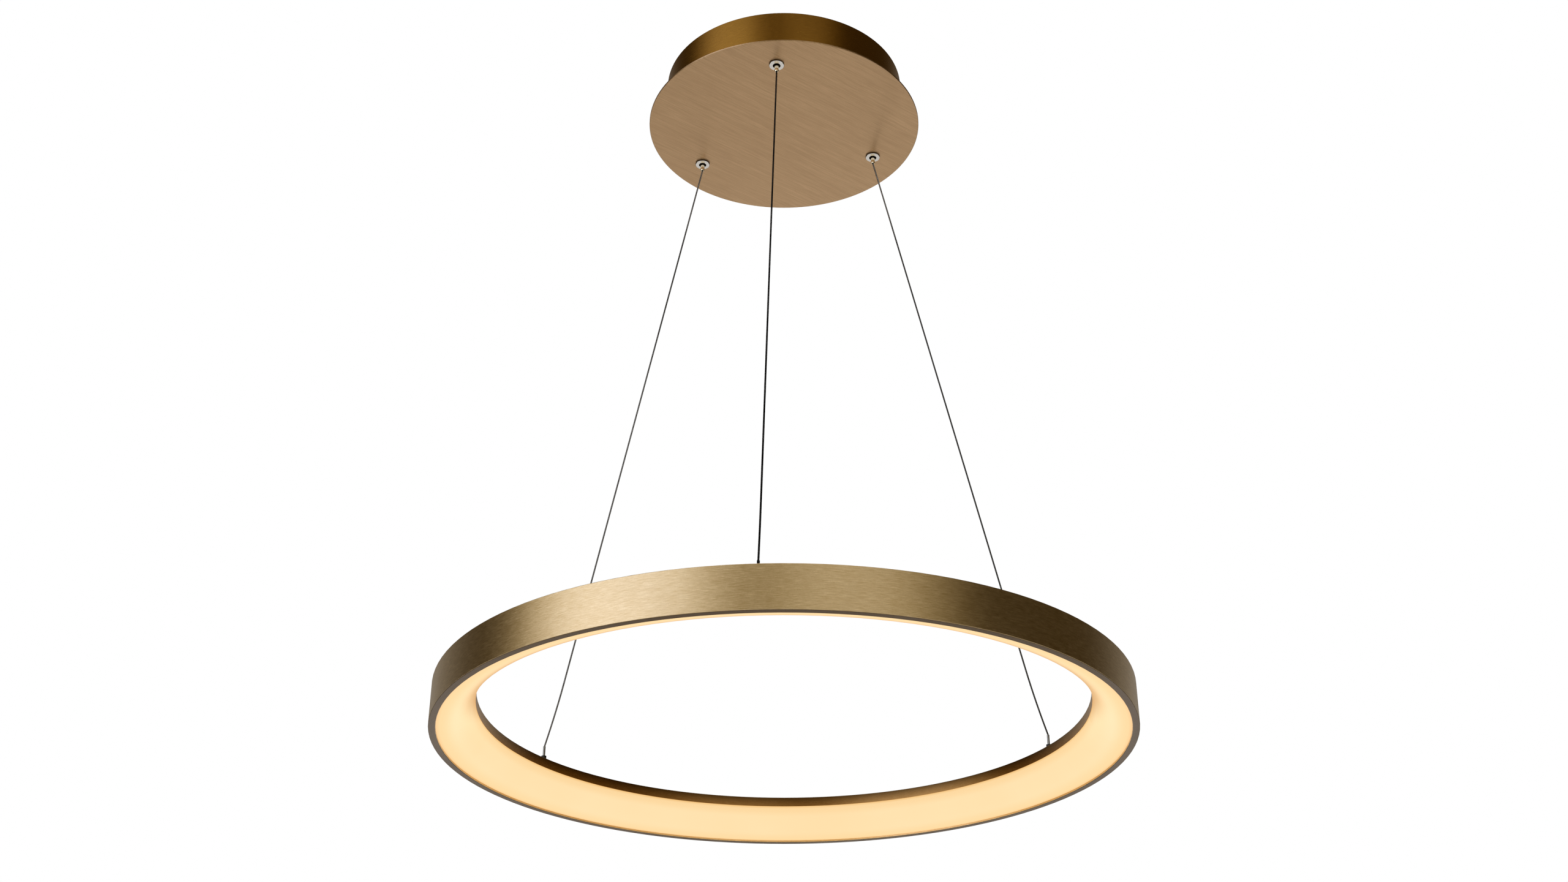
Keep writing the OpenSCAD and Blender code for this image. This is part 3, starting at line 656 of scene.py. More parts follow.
@dataclass(frozen=True)
class OpalGlow:
    """The opal cover, lit from behind by the LED strip.

    Args:
        name: the material's name.
        edge: glow beside the rim.
        low: glow just inside the rim.
        mid: glow of the round corner.
        high: glow where the cover turns upright.
        seam: glow beside the ring's inner wall.
        limb: glow seen at a grazing angle.
        centre: radius and height about which the cover's round corner turns.
        sweep: angles about that centre at the rim and at the inner wall, in radians.
        places: where along the sweep each glow lies, with mid at two places.
        cloud: share of the uneven spots.
        grazing: range of the Facing value in which the glow gets warm.
        grazing_share: how warm it gets.
        body: the cover's own colour.
        rough: its roughness.
        gloss: strength of its reflections.
    """

    name: str
    edge: Colour = linear(250, 205, 146)
    low: Colour = linear(253, 216, 158)
    mid: Colour = linear(255, 227, 177)
    high: Colour = linear(252, 216, 160)
    seam: Colour = linear(240, 190, 118)
    limb: Colour = linear(214, 160, 96)
    centre: tuple[float, float] = (0.28087, -0.6532)
    sweep: tuple[float, float] = (-0.11, 1.49)
    places: tuple[float, ...] = (0.0, 0.08, 0.4, 0.75, 0.93, 1.0)
    cloud: float = 0.35
    grazing: tuple[float, float] = (0.72, 0.97)
    grazing_share: float = 0.85
    body: Colour = (0.012, 0.01, 0.008)
    rough: float = 0.45
    gloss: float = 0.15

    def build(self) -> bpy.types.Material:
        """Makes the material.

        Returns:
            The glowing opal material.
        """
        material, sketch, shader = blank(self.name)
        radius, height = self.centre
        side = sketch.sum("SUBTRACT", radius, sketch.reach())
        rise = sketch.sum("SUBTRACT", height, sketch.height())
        share = sketch.spread(sketch.sum("ARCTAN2", side, rise), *self.sweep)
        uneven = EFFECTS.place(sketch, EFFECTS.mottle(), Size=9.0, Speck=1500.0)
        tones = (self.edge, self.low, self.mid, self.mid, self.high, self.seam)
        glow = sketch.stops(share, list(zip(self.places, tones)))
        clouded = sketch.between(uneven.outputs["Blotches"], 0.0, self.cloud)
        glow = sketch.mix(clouded, glow, (*self.low, 1.0))
        grazing = sketch.spread(sketch.facing(), *self.grazing, 0.0, self.grazing_share,
                                smooth=True)
        glow = sketch.mix(grazing, glow, (*self.limb, 1.0))
        sketch.join(glow, shader.inputs["Emission Color"])
        shader.inputs["Emission Strength"].default_value = 1.0
        shader.inputs["Base Color"].default_value = (*self.body, 1.0)
        shader.inputs["Roughness"].default_value = self.rough
        shader.inputs["Specular IOR Level"].default_value = self.gloss
        return material


@dataclass(frozen=True)
class Plated:
    """Plated or bare metal: nickel, zinc, steel or brass.

    Args:
        name: the material's name.
        bright: the metal's colour.
        dull: its colour in blotches.
        rough: mean roughness.
        oxide: height above which the metal gets painted shade.
        oxide_tone: colour of that painted shade.
        lighter: how much painted reflection lightens a wire near its upper and its lower end.
        upper: heights between which it gets lighter upward.
        lower: heights between which it gets darker upward.
        blotch: most of the dull colour in a blotch.
        rough_less: how much smoother than the mean the metal gets.
        rough_more: how much rougher it gets.
        bump: strength of the specks' relief.
        depth: depth of the specks, in metres.
    """

    name: str
    bright: Colour
    dull: Colour
    rough: float = 0.22
    oxide: float = 1.0
    oxide_tone: Colour = (0.10, 0.085, 0.065)
    lighter: tuple[float, float] = (0.0, 0.0)
    upper: tuple[float, float] = (-0.15, -0.10)
    lower: tuple[float, float] = (-0.31, -0.21)
    blotch: float = 0.6
    rough_less: float = 0.05
    rough_more: float = 0.07
    bump: float = 0.05
    depth: float = 0.00002

    def _fade(self, sketch: Sketch, colour: bpy.types.NodeSocket) -> bpy.types.NodeSocket:
        """Lightens a wire near its ends, where it mirrors more of the room.

        Args:
            sketch: the material's sketch.
            colour: the metal's colour in the middle of the wire.

        Returns:
            The colour along the whole wire.
        """
        # Painted reflection: the wire is painted lighter near its ends.
        height = sketch.height()
        upper = sketch.spread(height, *self.upper, 1.0, 1.0 + self.lighter[0], smooth=True)
        lower = sketch.spread(height, *self.lower, self.lighter[1], 0.0, smooth=True)
        faded = sketch.vector("SCALE", colour)
        sketch.join(sketch.sum("ADD", upper, lower), faded.inputs["Scale"])
        return faded.outputs[0]

    def build(self) -> bpy.types.Material:
        """Makes the material.

        Returns:
            The plated material.
        """
        material, sketch, shader = blank(self.name)
        stain = EFFECTS.place(sketch, EFFECTS.mottle(), Size=260.0, Speck=5000.0)
        share = sketch.between(stain.outputs["Blotches"], 0.0, self.blotch)
        colour = sketch.mix(share, (*self.bright, 1.0), (*self.dull, 1.0))
        # Painted shade in the flange's recess and on its rim side, above the given height.
        if self.oxide < 0.0:
            above = sketch.spread(sketch.height(), self.oxide, self.oxide + EDGE)
            colour = sketch.mix(above, colour, (*self.oxide_tone, 1.0))
        # Painted reflection near a wire's ends.
        if any(self.lighter):
            colour = self._fade(sketch, colour)
        sketch.join(colour, shader.inputs["Base Color"])
        shader.inputs["Metallic"].default_value = 1.0
        rough = sketch.between(stain.outputs["Blotches"], self.rough - self.rough_less,
                               self.rough + self.rough_more)
        sketch.join(rough, shader.inputs["Roughness"])
        sketch.relief(shader, stain.outputs["Specks"], self.bump, self.depth)
        return material


@dataclass(frozen=True)
class Moulded:
    """Moulded plastic or rubber.

    Args:
        name: the material's name.
        colour: main colour.
        shade: colour in blotches.
        rough: mean roughness.
        blotch: most of the shade in a blotch.
        uneven: how much the specks change the roughness.
        bump: strength of the specks' relief.
        depth: depth of the specks, in metres.
    """

    name: str
    colour: Colour
    shade: Colour
    rough: float = 0.5
    blotch: float = 0.5
    uneven: float = 0.06
    bump: float = 0.25
    depth: float = 0.00004

    def build(self) -> bpy.types.Material:
        """Makes the material.

        Returns:
            The moulded material.
        """
        material, sketch, shader = blank(self.name)
        stain = EFFECTS.place(sketch, EFFECTS.mottle(), Size=90.0, Speck=3200.0)
        share = sketch.between(stain.outputs["Blotches"], 0.0, self.blotch)
        sketch.join(sketch.mix(share, (*self.colour, 1.0), (*self.shade, 1.0)),
                    shader.inputs["Base Color"])
        rough = sketch.between(stain.outputs["Specks"], self.rough - self.uneven,
                               self.rough + self.uneven)
        sketch.join(rough, shader.inputs["Roughness"])
        sketch.relief(shader, stain.outputs["Specks"], self.bump, self.depth)
        return material


@dataclass(frozen=True)
class StripedLead:
    """Insulation of the earth lead, green with yellow stripes.

    Args:
        name: the material's name.
        ground: the insulation's colour.
        stripe: colour of its stripes.
        density: scale of the stripes' wave.
        rough: its roughness.
    """

    name: str
    ground: Colour = (0.05, 0.27, 0.03)
    stripe: Colour = (0.75, 0.62, 0.03)
    density: float = 90.0
    rough: float = 0.42

    def build(self) -> bpy.types.Material:
        """Makes the material.

        Returns:
            The striped material.
        """
        material, sketch, shader = blank(self.name)
        wave = sketch.add("ShaderNodeTexWave", bands_direction="DIAGONAL")
        sketch.join(sketch.here(), wave.inputs["Vector"])
        wave.inputs["Scale"].default_value = self.density
        mask = sketch.spread(wave.outputs["Fac"], 0.45, 0.55)
        sketch.join(sketch.mix(mask, (*self.ground, 1.0), (*self.stripe, 1.0)),
                    shader.inputs["Base Color"])
        shader.inputs["Roughness"].default_value = self.rough
        return material


@dataclass(frozen=True)
class LedPhosphor:
    """LED cases with a yellow phosphor window, lit.

    Args:
        name: the material's name.
        middle: radius of the row of LEDs.
        window: half the window's width at its sharp and at its soft edge.
        case: colour of the cases.
        phosphor: colour of the windows.
        glow: light of the windows.
        rough: roughness of both.
    """

    name: str
    middle: float
    window: tuple[float, float] = (0.0011, 0.0013)
    case: Colour = (0.85, 0.85, 0.83)
    phosphor: Colour = (0.9, 0.62, 0.12)
    glow: Colour = (1.0, 0.72, 0.4)
    rough: float = 0.4

    def build(self) -> bpy.types.Material:
        """Makes the material.

        Returns:
            The LEDs' material.
        """
        material, sketch, shader = blank(self.name)
        off = sketch.sum("ABSOLUTE", sketch.sum("SUBTRACT", sketch.reach(), self.middle))
        window = sketch.spread(off, *self.window, 1.0, 0.0)
        sketch.join(sketch.mix(window, (*self.case, 1.0), (*self.phosphor, 1.0)),
                    shader.inputs["Base Color"])
        sketch.join(sketch.mix(window, (0.0, 0.0, 0.0, 1.0), (*self.glow, 1.0)),
                    shader.inputs["Emission Color"])
        shader.inputs["Emission Strength"].default_value = 1.0
        shader.inputs["Roughness"].default_value = self.rough
        return material


@dataclass
class Finishes:
    """Every finish of the lamp.

    Args:
        ring_gold: the ring's profile, with painted shade on its inner face and underside and a
            painted glow on its inner face.
        plate_gold: the canopy's plate.
        drum_gold: the canopy's drum and its side screws.
        opal: the opal cover.
        nickel: the grippers' nuts and caps, and the stops on the wires' upper ends.
        flange: the grippers' flanges and barrels, with painted shade in the recess and on the rim
            side.
        warm: the release plungers, nickel tinted warm as a painted reflection of the gold plate.
        crimp: the sleeves of the right and left wires.
        dark: the anchors' round heads.
        zinc: the bracket, the studs and the nuts.
        ball: the gripping balls and the plungers' springs.
        strand: the right wire, and all wires inside their grippers.
        pale_strand: the left wire, a copy of the wire steel painted lighter for the light it
            catches.
        dark_strand: the front wire and its sleeve, a copy of the wire steel painted darker for the
            dark room it mirrors.
        brass: the earth screw and its tag.
        insulator: the bushes and washers that keep live metal apart.
        driver: the driver's case.
        terminal: the terminal block.
        tape: the strip that carries the LEDs.
        led: the LEDs.
        brown: the mains leads.
        red: the output leads.
        ivory: the leads of the LED strip.
        earth: the earth lead.
        made: the materials made so far, by the name of their finish.
    """

    # The ring's profile gets painted shade and a painted glow on its inner face, and painted shade
    # on its underside.
    ring_gold: BrushedGold = BrushedGold(
        "brushed_gold_ring", Grain.AROUND, (0.97, 0.77, 0.485), (0.62, 0.445, 0.225),
        rough=0.34, stretch=0.8, fineness=1500.0, streaks=45.0, bump=0.3, inner=0.2562,
        under=-0.6819)
    plate_gold: BrushedGold = BrushedGold(
        "brushed_gold_plate", Grain.STRAIGHT, (0.74, 0.50, 0.285), (0.51, 0.325, 0.175),
        rough=0.36, stretch=0.7, fineness=1150.0, bump=0.14)
    drum_gold: BrushedGold = BrushedGold(
        "brushed_gold_drum", Grain.AROUND, (0.46, 0.225, 0.036), (0.39, 0.185, 0.028),
        rough=0.24, stretch=0.3, fineness=2600.0, bump=0.03)
    opal: OpalGlow = OpalGlow("opal_glow")
    nickel: Plated = Plated("polished_nickel", (0.96, 0.94, 0.90), (0.84, 0.81, 0.76), 0.14)
    # The flange's recess and rim side get painted shade.
    flange: Plated = Plated("flange_nickel", (1.0, 0.985, 0.96), (0.92, 0.90, 0.86), 0.14,
                            oxide=-0.0494)
    # Nickel tinted warm: a painted reflection of the gold plate.
    warm: Plated = Plated("nickel_painted_gold_reflection", (0.98, 0.89, 0.68), (0.74, 0.60, 0.42), 0.13)
    crimp: Plated = Plated("crimp_steel", (0.30, 0.29, 0.27), (0.20, 0.19, 0.18), 0.3)
    dark: Plated = Plated("blackened_steel", (0.05, 0.048, 0.045), (0.03, 0.03, 0.03), 0.4)
    zinc: Plated = Plated("zinc_plate", (0.66, 0.68, 0.70), (0.50, 0.52, 0.55), 0.32)
    ball: Plated = Plated("ball_steel", (0.70, 0.71, 0.72), (0.62, 0.63, 0.64), 0.08)
    # The three wires are one steel: lit and shaded copies, painted lighter or darker, each with
    # painted reflection near its ends.
    strand: Plated = Plated("wire_steel", (0.15, 0.146, 0.138), (0.065, 0.065, 0.06), 0.3,
                            lighter=(1.4, 0.0))
    pale_strand: Plated = Plated("lit_wire_steel", (0.18, 0.175, 0.168), (0.084, 0.08, 0.078),
                                 0.3, lighter=(0.8, 0.8))
    dark_strand: Plated = Plated("shaded_wire_steel", (0.018, 0.0175, 0.0165),
                                 (0.008, 0.008, 0.0075), 0.3, lighter=(1.5, 0.0))
    brass: Plated = Plated("earth_brass", (0.78, 0.58, 0.24), (0.62, 0.44, 0.18), 0.3)
    insulator: Moulded = Moulded("black_insulator", (0.02, 0.02, 0.02), (0.035, 0.035, 0.035), 0.5)
    driver: Moulded = Moulded("driver_white", (0.78, 0.78, 0.76), (0.72, 0.72, 0.70), 0.5)
    terminal: Moulded = Moulded("terminal_white", (0.74, 0.74, 0.68), (0.66, 0.66, 0.60), 0.45)
    tape: Moulded = Moulded("strip_tape", (0.80, 0.80, 0.78), (0.70, 0.70, 0.68), 0.55)
    led: LedPhosphor = LedPhosphor("led_phosphor", 0.27725)
    brown: Moulded = Moulded("lead_brown", (0.12, 0.045, 0.02), (0.09, 0.035, 0.016), 0.42)
    red: Moulded = Moulded("lead_red", (0.5, 0.02, 0.02), (0.4, 0.016, 0.016), 0.42)
    ivory: Moulded = Moulded("lead_ivory", (0.75, 0.72, 0.60), (0.66, 0.63, 0.52), 0.42)
    earth: StripedLead = StripedLead("lead_earth")
    made: dict[str, bpy.types.Material] = field(default_factory=dict)

    def get(self, name: str) -> bpy.types.Material:
        """Builds a finish once and returns its material.

        Args:
            name: the field that holds the finish.

        Returns:
            Its material.
        """
        if name not in self.made:
            self.made[name] = getattr(self, name).build()
        return self.made[name]


# Sub-assemblies


@dataclass
class SubAssembly:
    """A part of the lamp that dresses CAD nodes and may add pieces of its own.

    Args:
        finishes: the lamp's finishes.
    """

    frame: dict
    finishes: Finishes

    def wear(self, node: str, finish: str) -> None:
        """Gives a CAD node its finish.

        Args:
            node: the CAD node's name.
            finish: the name of the finish.
        """
        thing = self.frame["nodes"][node]
        thing.data.materials.clear()
        thing.data.materials.append(self.finishes.get(finish))
        LOG.info("%s wears %s", node, finish)

    def keep(self, name: str, mesh: bmesh.types.BMesh, body: str, finish: str,
             slot: str) -> bpy.types.Object:
        """Turns a bmesh into a piece of the lamp.

        Args:
            name: the piece's name.
            mesh: its mesh, which is freed here.
            body: the CAD body that carries it.
            finish: the name of its finish.
            slot: the record's material slot; not used.

        Returns:
            The new object.
        """
        bmesh.ops.recalc_face_normals(mesh, faces=mesh.faces)
        data = bpy.data.meshes.new(name)
        mesh.to_mesh(data)
        mesh.free()
        data.materials.append(self.finishes.get(finish))
        piece = bpy.data.objects.new(name, data)
        bpy.context.scene.collection.objects.link(piece)
        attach(piece, body)
        LOG.info("%s: %d faces on %s", name, len(data.polygons), body)
        return piece


@dataclass
class Canopy(SubAssembly):
    """The canopy with its bracket and the electrics inside.

    Args:
        outfit: the finish of each CAD node.
    """

    outfit: dict[str, str] = field(default_factory=lambda: {
        "canopy_plate": "plate_gold", "canopy_drum": "drum_gold", "side_screws": "drum_gold",
        "ceiling_bracket": "zinc", "plate_studs": "zinc", "tab_nuts": "zinc",
        "driver_nuts": "zinc", "terminal_nut": "zinc", "terminal_screws": "zinc",
        "led_driver": "driver", "terminal_block": "terminal", "earth_screw": "brass",
        "earth_tag": "brass", "mains_leads": "brown", "output_leads": "red",
        "earth_lead": "earth"})

    def build(self) -> None:
        """Dresses the canopy's CAD nodes."""
        for node, finish in self.outfit.items():
            self.wear(node, finish)


@dataclass
class Grippers(SubAssembly):
    """The three wire grippers with their plungers, balls and springs.

    Args:
        radius: distance of a gripper from the lamp's axis.
        spring_low: height at which a spring starts.
        spring_high: height at which it ends.
        spring_radius: radius of its coils, at the middle of its wire.
        spring_wire: thickness of its wire.
        spring_turns: its number of turns.
        spring_steps: straight steps in a turn.
        spring_sides: sides of its round wire.
        spring_seat: room for the wire at each end, in its thicknesses.
        travel: how far a plunger is pushed in; not used.
    """

    radius: float = 0.0995
    spring_low: float = -0.0341
    spring_high: float = -0.02805
    spring_radius: float = 0.0026
    spring_wire: float = 0.0005
    spring_turns: int = 4
    spring_steps: int = 24
    spring_sides: int = 10
    spring_seat: float = 0.6
    travel: float = 0.0025

    def _spring(self, wire: Wire) -> bmesh.types.BMesh:
        """Winds one return spring with closed ends.

        Args:
            wire: the gripper that holds it.

        Returns:
            The spring's mesh, in place.
        """
        mesh = bmesh.new()
        seat = self.spring_wire * self.spring_seat
        start = self.spring_low + seat
        rise = self.spring_high - self.spring_low - 2 * seat
        ring = bmesh.ops.create_circle(mesh, segments=self.spring_sides,
                                       radius=self.spring_wire / 2, cap_ends=True)
        turn = Matrix.Translation((self.spring_radius, 0.0, start)) @ Matrix.Rotation(
            math.pi / 2, 4, "X")
        bmesh.ops.transform(mesh, matrix=turn, verts=ring["verts"])
        steps = self.spring_turns * self.spring_steps
        bmesh.ops.spin(mesh, geom=mesh.faces[:] + mesh.edges[:] + mesh.verts[:],
                       cent=(0.0, 0.0, 0.0), axis=(0.0, 0.0, 1.0),
                       dvec=(0.0, 0.0, rise / steps), angle=math.tau * self.spring_turns,
                       steps=steps, use_merge=False, use_duplicate=False)
        place = Matrix.Rotation(wire.angle, 4, "Z") @ Matrix.Translation((self.radius, 0.0, 0.0))
        bmesh.ops.transform(mesh, matrix=place, verts=mesh.verts)
        return mesh

    def build(self) -> None:
        """Dresses the grippers and puts in their springs."""
        for node in ("gripper_nuts", "wire_end_stops"):
            self.wear(node, "nickel")
        self.wear("gripper_bushes", "insulator")
        for wire in Wire:
            # The flanges get painted shade in their recesses; the plungers' warm tint is a painted
            # reflection of the gold plate.
            for node, finish in (("gripper_body_", "flange"), ("gripper_cap_", "nickel"),
                                 ("release_plunger_", "warm")):
                self.wear(node + wire.value, finish)
            self.wear("gripping_balls_" + wire.value, "ball")
            spring = self.keep("coil_spring_" + wire.value, self._spring(wire), "canopy", "ball",
                               "ball_steel")
            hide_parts("plunger_spring_" + wire.value)
            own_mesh(spring)


@dataclass
class Suspension(SubAssembly):
    """The three wires, each of six twisted strands.

    Args:
        top: height at which the visible wire starts.
        bottom: height at which it ends.
        upper_radius: its distance from the lamp's axis at the canopy.
        lower_radius: its distance from the lamp's axis at the ring.
        flare: how far it bends outward above the ring.
        flare_length: height over which it bends.
        wire: its thickness.
        lay: height in which a strand goes round once.
        steps_per_turn: straight steps in a turn.
        sides: sides of a strand.
        strands: number of strands in its outer layer, which hides its middle.
        across: the wire's thickness in thicknesses of a strand.
        lift: how far the ring can be raised; not used.
        outfit: the finish of each wire.
    """

    top: float = -0.0568
    bottom: float = -0.6325
    upper_radius: float = 0.0995
    lower_radius: float = 0.2625
    flare: float = 0.003
    flare_length: float = 0.06
    wire: float = 0.0017
    lay: float = 0.0105
    steps_per_turn: int = 8
    sides: int = 6
    strands: int = 6
    across: int = 3
    lift: float = 0.35
    # Lit and shaded copies of one steel, painted lighter or darker by where each wire hangs.
    outfit: dict[Wire, str] = field(default_factory=lambda: {
        Wire.FRONT: "dark_strand", Wire.RIGHT: "strand", Wire.LEFT: "pale_strand"})

    def _lean(self, height: float) -> float:
        """Finds how far a wire's own axis lies from the lamp's axis.

        Args:
            height: the height at which it is asked for.

        Returns:
            The distance.
        """
        run = (self.top - height) / (self.top - self.bottom)
        out = max(0.0, 1 - (height - self.bottom) / self.flare_length)
        return (self.upper_radius + (self.lower_radius - self.flare - self.upper_radius) * run
                + self.flare * out ** 2)

    def _strand(self, mesh: bmesh.types.BMesh, start: float) -> None:
        """Winds one strand down the wire.

        Args:
            mesh: the wire's mesh, to which the strand is added.
            start: where round the wire the strand starts, in radians.
        """
        length = self.top - self.bottom
        radius = self.wire / (2 * self.across)
        steps = round(length / self.lay * self.steps_per_turn)
        before = len(mesh.verts)
        bmesh.ops.create_cone(mesh, cap_ends=True, segments=self.sides, radius1=radius,
                              radius2=radius, depth=length)
        mesh.verts.ensure_lookup_table()
        upright = {edge for vert in mesh.verts[before:] for edge in vert.link_edges
                   if abs(edge.verts[0].co.z - edge.verts[1].co.z) > length / 2}
        bmesh.ops.subdivide_edges(mesh, edges=list(upright), cuts=steps - 1, use_grid_fill=True)
        mesh.verts.ensure_lookup_table()
        for vert in mesh.verts[before:]:
            depth = length / 2 - vert.co.z
            turn = start + math.tau * depth / self.lay
            out = self.wire / 2 - radius + vert.co.x
            vert.co = (out * math.cos(turn) - vert.co.y * math.sin(turn),
                       out * math.sin(turn) + vert.co.y * math.cos(turn), self.top - depth)

    def _wire(self, wire: Wire) -> bmesh.types.BMesh:
        """Twists one wire and leans it outward to its anchor.

        Args:
            wire: which wire.

        Returns:
            The wire's mesh, in place.
        """
        mesh = bmesh.new()
        for index in range(self.strands):
            self._strand(mesh, math.tau * index / self.strands)
        for vert in mesh.verts:
            vert.co.x += self._lean(vert.co.z)
        bmesh.ops.transform(mesh, matrix=Matrix.Rotation(wire.angle, 4, "Z"), verts=mesh.verts)
        return mesh

    def build(self) -> None:
        """Makes the wires and dresses what they end in."""
        for wire in Wire:
            piece = self.keep("stranded_wire_" + wire.value, self._wire(wire), "canopy",
                              self.outfit[wire], "steel_wire")
            for face in piece.data.polygons:
                face.use_smooth = True
            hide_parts("suspension_wire_" + wire.value)
            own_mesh(piece)
            # The front sleeve shares the front wire's painted darker copy.
            self.wear("wire_ferrule_" + wire.value,
                      "dark_strand" if wire is Wire.FRONT else "crimp")
            self.wear("wire_anchor_" + wire.value, "dark")
        self.wear("wire_tails", "strand")


@dataclass
class LightRing(SubAssembly):
    """The lit ring: its gold profile, the opal cover and the LED strip inside.

    Args:
        outfit: the finish of each CAD node.
    """

    outfit: dict[str, str] = field(default_factory=lambda: {
        "ring_profile": "ring_gold", "opal_cover": "opal", "led_strip": "tape",
        "led_chips": "led", "strip_leads": "ivory", "anchor_bushes": "insulator",
        "anchor_washers": "insulator", "anchor_nuts": "zinc"})

    def build(self) -> None:
        """Dresses the ring's CAD nodes."""
        for node, finish in self.outfit.items():
            self.wear(node, finish)


# Studio


@dataclass(frozen=True)
class SoftLight:
    """A tall soft light at one side of the studio.

    Args:
        azimuth: its direction, 0 in front and 90 to the right, in degrees.
        half: half the width that is evenly lit, in degrees.
        edge: width of its soft edge, in degrees.
        level: brightness, where 1 is white.
    """

    azimuth: float
    half: float
    edge: float
    level: float

    def draw(self, sketch: Sketch, azimuth: bpy.types.NodeSocket) -> bpy.types.NodeSocket:
        """Draws the light into the world.

        Args:
            sketch: the world's sketch.
            azimuth: direction of the ray, in degrees.

        Returns:
            The light's brightness in that direction.
        """
        off = sketch.sum("ABSOLUTE", sketch.sum("SUBTRACT", azimuth, self.azimuth))
        return sketch.spread(off, self.half, self.half + self.edge, self.level, 0.0, smooth=True)


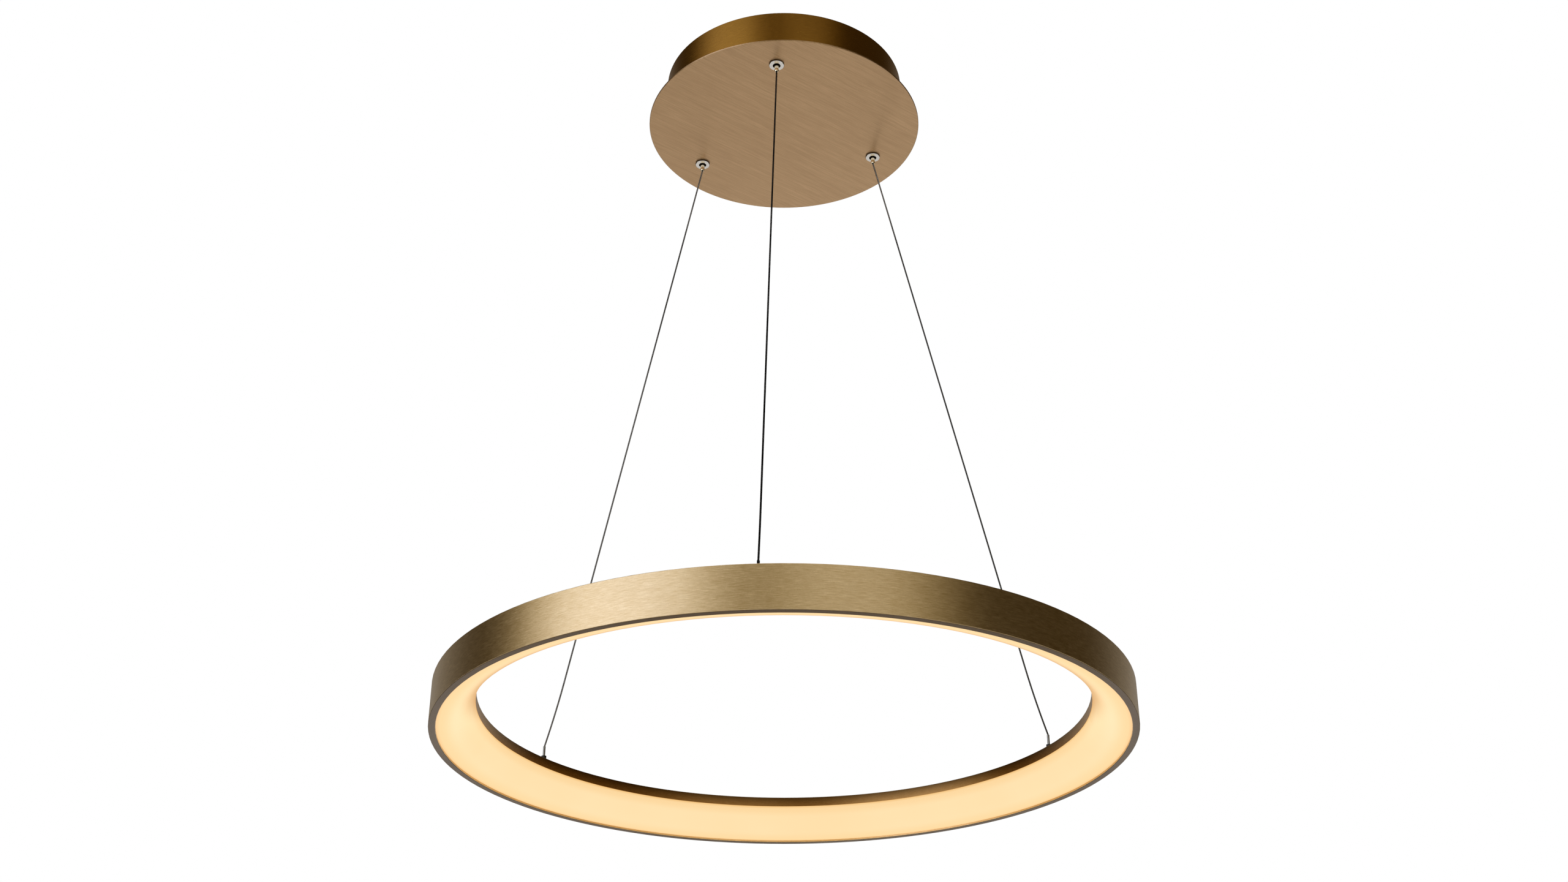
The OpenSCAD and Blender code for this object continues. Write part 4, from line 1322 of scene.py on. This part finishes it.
@dataclass
class Studio:
    """Camera, world and floor.

    Args:
        eye: the camera's place.
        pitch: how far the camera looks up, in radians.
        lens: focal length in millimetres on a 36 mm wide sensor.
        floor: height of the floor.
        floor_radius: the floor's radius.
        floor_sides: number of straight sides of its round edge.
        floor_fade: shares of that radius between which the floor turns white.
        floor_level: how white it is in the middle.
        floor_mirrored: how bright metal shows the floor.
        floor_tone: the floor's colour where it is lit.
        room: brightness of the unlit room.
        warmth: power of that brightness in red, green and blue.
        boxes: the soft lights in front of the lamp.
        behind: directions between which the room behind the lamp gets lighter, in degrees.
        behind_level: how much lighter it gets.
        backdrop: directions between which metal starts to show the white backdrop.
        backdrop_top: heights between which that backdrop ends, in degrees.
        side_top: heights between which the side lights fade, in degrees.
        upper_room: colour of the room above them.
        overhead: heights between which the overhead light comes up, in degrees.
        overhead_level: brightness of the overhead light.
    """

    eye: tuple[float, float, float] = (0.0, -1.4639, -1.177)
    pitch: float = 0.490
    lens: float = 42.39
    floor: float = -3.0
    floor_radius: float = 5.5
    floor_sides: int = 96
    floor_fade: tuple[float, float] = (0.3, 0.95)
    floor_level: float = 0.82
    floor_mirrored: float = 0.18
    floor_tone: Colour = (0.9, 0.88, 0.85)
    room: float = 0.045
    warmth: tuple[float, float, float] = (1.0, 1.13, 1.5)
    boxes: tuple[SoftLight, ...] = (SoftLight(-53.0, 8.0, 42.0, 1.46),
                                    SoftLight(19.0, 5.0, 42.0, 0.64))
    behind: tuple[float, float] = (115.0, 150.0)
    behind_level: float = 0.25
    backdrop: tuple[float, float] = (160.0, 172.0)
    backdrop_top: tuple[float, float] = (7.0, 13.0)
    side_top: tuple[float, float] = (30.0, 46.0)
    upper_room: Colour = (0.06, 0.045, 0.02)
    overhead: tuple[float, float] = (58.0, 76.0)
    overhead_level: float = 1.2

    def camera(self) -> None:
        """Makes the camera at the photograph's place."""
        data = bpy.data.cameras.new("camera")
        data.lens = self.lens
        data.sensor_width = 36.0
        data.clip_start = 0.01
        data.clip_end = 100.0
        eye = bpy.data.objects.new("camera", data)
        eye.location = self.eye
        eye.rotation_euler = (math.pi / 2 + self.pitch, 0.0, 0.0)
        bpy.context.scene.collection.objects.link(eye)
        bpy.context.scene.camera = eye

    def world(self) -> None:
        """White behind the lamp for the camera, and a soft studio for its reflections."""
        world = bpy.data.worlds.new("studio")
        bpy.context.scene.world = world
        world.use_nodes = True
        sketch = Sketch(world.node_tree)
        shader = next(n for n in sketch.tree.nodes if n.type == "BACKGROUND")
        parts = sketch.add("ShaderNodeSeparateXYZ")
        sketch.join(sketch.add("ShaderNodeTexCoord").outputs["Generated"], parts.inputs[0])
        forward = sketch.sum("MULTIPLY", parts.outputs[1], -1.0)
        azimuth = sketch.sum("DEGREES", sketch.sum("ARCTAN2", parts.outputs[0], forward))
        rise = sketch.sum("DEGREES", sketch.sum("ARCSINE", parts.outputs[2]))
        level: bpy.types.NodeSocket | float = self.room
        for box in self.boxes:
            level = sketch.sum("ADD", box.draw(sketch, azimuth), level)
        side = sketch.add("ShaderNodeCombineXYZ")
        for index, warmth in enumerate(self.warmth):
            sketch.join(sketch.sum("POWER", level, warmth), side.inputs[index])
        turned = sketch.sum("ABSOLUTE", azimuth)
        behind = sketch.spread(turned, *self.behind, 0.0, self.behind_level)
        backdrop = sketch.sum("MULTIPLY", sketch.spread(turned, *self.backdrop, smooth=True),
                              sketch.spread(rise, *self.backdrop_top, 1.0, 0.0, smooth=True))
        low = sketch.spread(rise, *self.side_top, 1.0, 0.0, smooth=True)
        top = sketch.spread(rise, *self.overhead, 0.0, self.overhead_level, smooth=True)
        room = sketch.mix(low, (*self.upper_room, 1.0),
                          sketch.vector("ADD", side.outputs[0], behind).outputs[0])
        room = sketch.vector("ADD", room, top).outputs[0]
        rays = sketch.add("ShaderNodeLightPath")
        mirrored = sketch.sum("ADD", rays.outputs["Is Glossy Ray"],
                              rays.outputs["Is Transmission Ray"])
        shown = sketch.sum("ADD", rays.outputs["Is Camera Ray"],
                           sketch.sum("MULTIPLY", mirrored, backdrop), clamp=True)
        sketch.join(sketch.mix(shown, room, (1.0, 1.0, 1.0, 1.0)), shader.inputs["Color"])
        shader.inputs["Strength"].default_value = 1.0

    def ground(self) -> None:
        """A plain pale round floor, well below the lamp, that fades into the white."""
        mesh = bmesh.new()
        bmesh.ops.create_circle(mesh, cap_ends=True, segments=self.floor_sides,
                                radius=self.floor_radius)
        bmesh.ops.translate(mesh, vec=(0.0, 0.0, self.floor), verts=mesh.verts)
        data = bpy.data.meshes.new("floor")
        mesh.to_mesh(data)
        mesh.free()
        material, sketch, shader = blank("pale_floor")
        rays = sketch.add("ShaderNodeLightPath")
        start, end = (share * self.floor_radius for share in self.floor_fade)
        fade = sketch.spread(sketch.reach(), start, end, self.floor_level, 1.0, smooth=True)
        white = sketch.sum("MULTIPLY", rays.outputs["Is Camera Ray"], fade)
        mirrored = sketch.sum("MULTIPLY", rays.outputs["Is Glossy Ray"], self.floor_mirrored)
        lit = sketch.sum("ADD", white, mirrored)
        sketch.join(sketch.mix(white, (*self.floor_tone, 1.0), (0.0, 0.0, 0.0, 1.0)),
                    shader.inputs["Base Color"])
        shader.inputs["Emission Color"].default_value = (1.0, 1.0, 1.0, 1.0)
        sketch.join(lit, shader.inputs["Emission Strength"])
        shader.inputs["Roughness"].default_value = 0.9
        shader.inputs["Specular IOR Level"].default_value = 0.0
        data.materials.append(material)
        floor = bpy.data.objects.new("floor", data)
        bpy.context.scene.collection.objects.link(floor)

    def build(self) -> None:
        """Sets the whole studio up."""
        scene = bpy.context.scene
        scene.view_settings.view_transform = "Standard"
        self.camera()
        self.world()
        self.ground()
        LOG.info("studio ready")


def main() -> None:
    """Builds the lamp's looks in order."""
    logging.basicConfig(level=logging.INFO, format="%(name)s: %(message)s")
    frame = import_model()
    Studio().build()
    finishes = Finishes()
    for part in (Canopy, Grippers, Suspension, LightRing):
        part(frame, finishes).build()
        LOG.info("%s done", part.__name__)


if __name__ == "__main__":
    main()
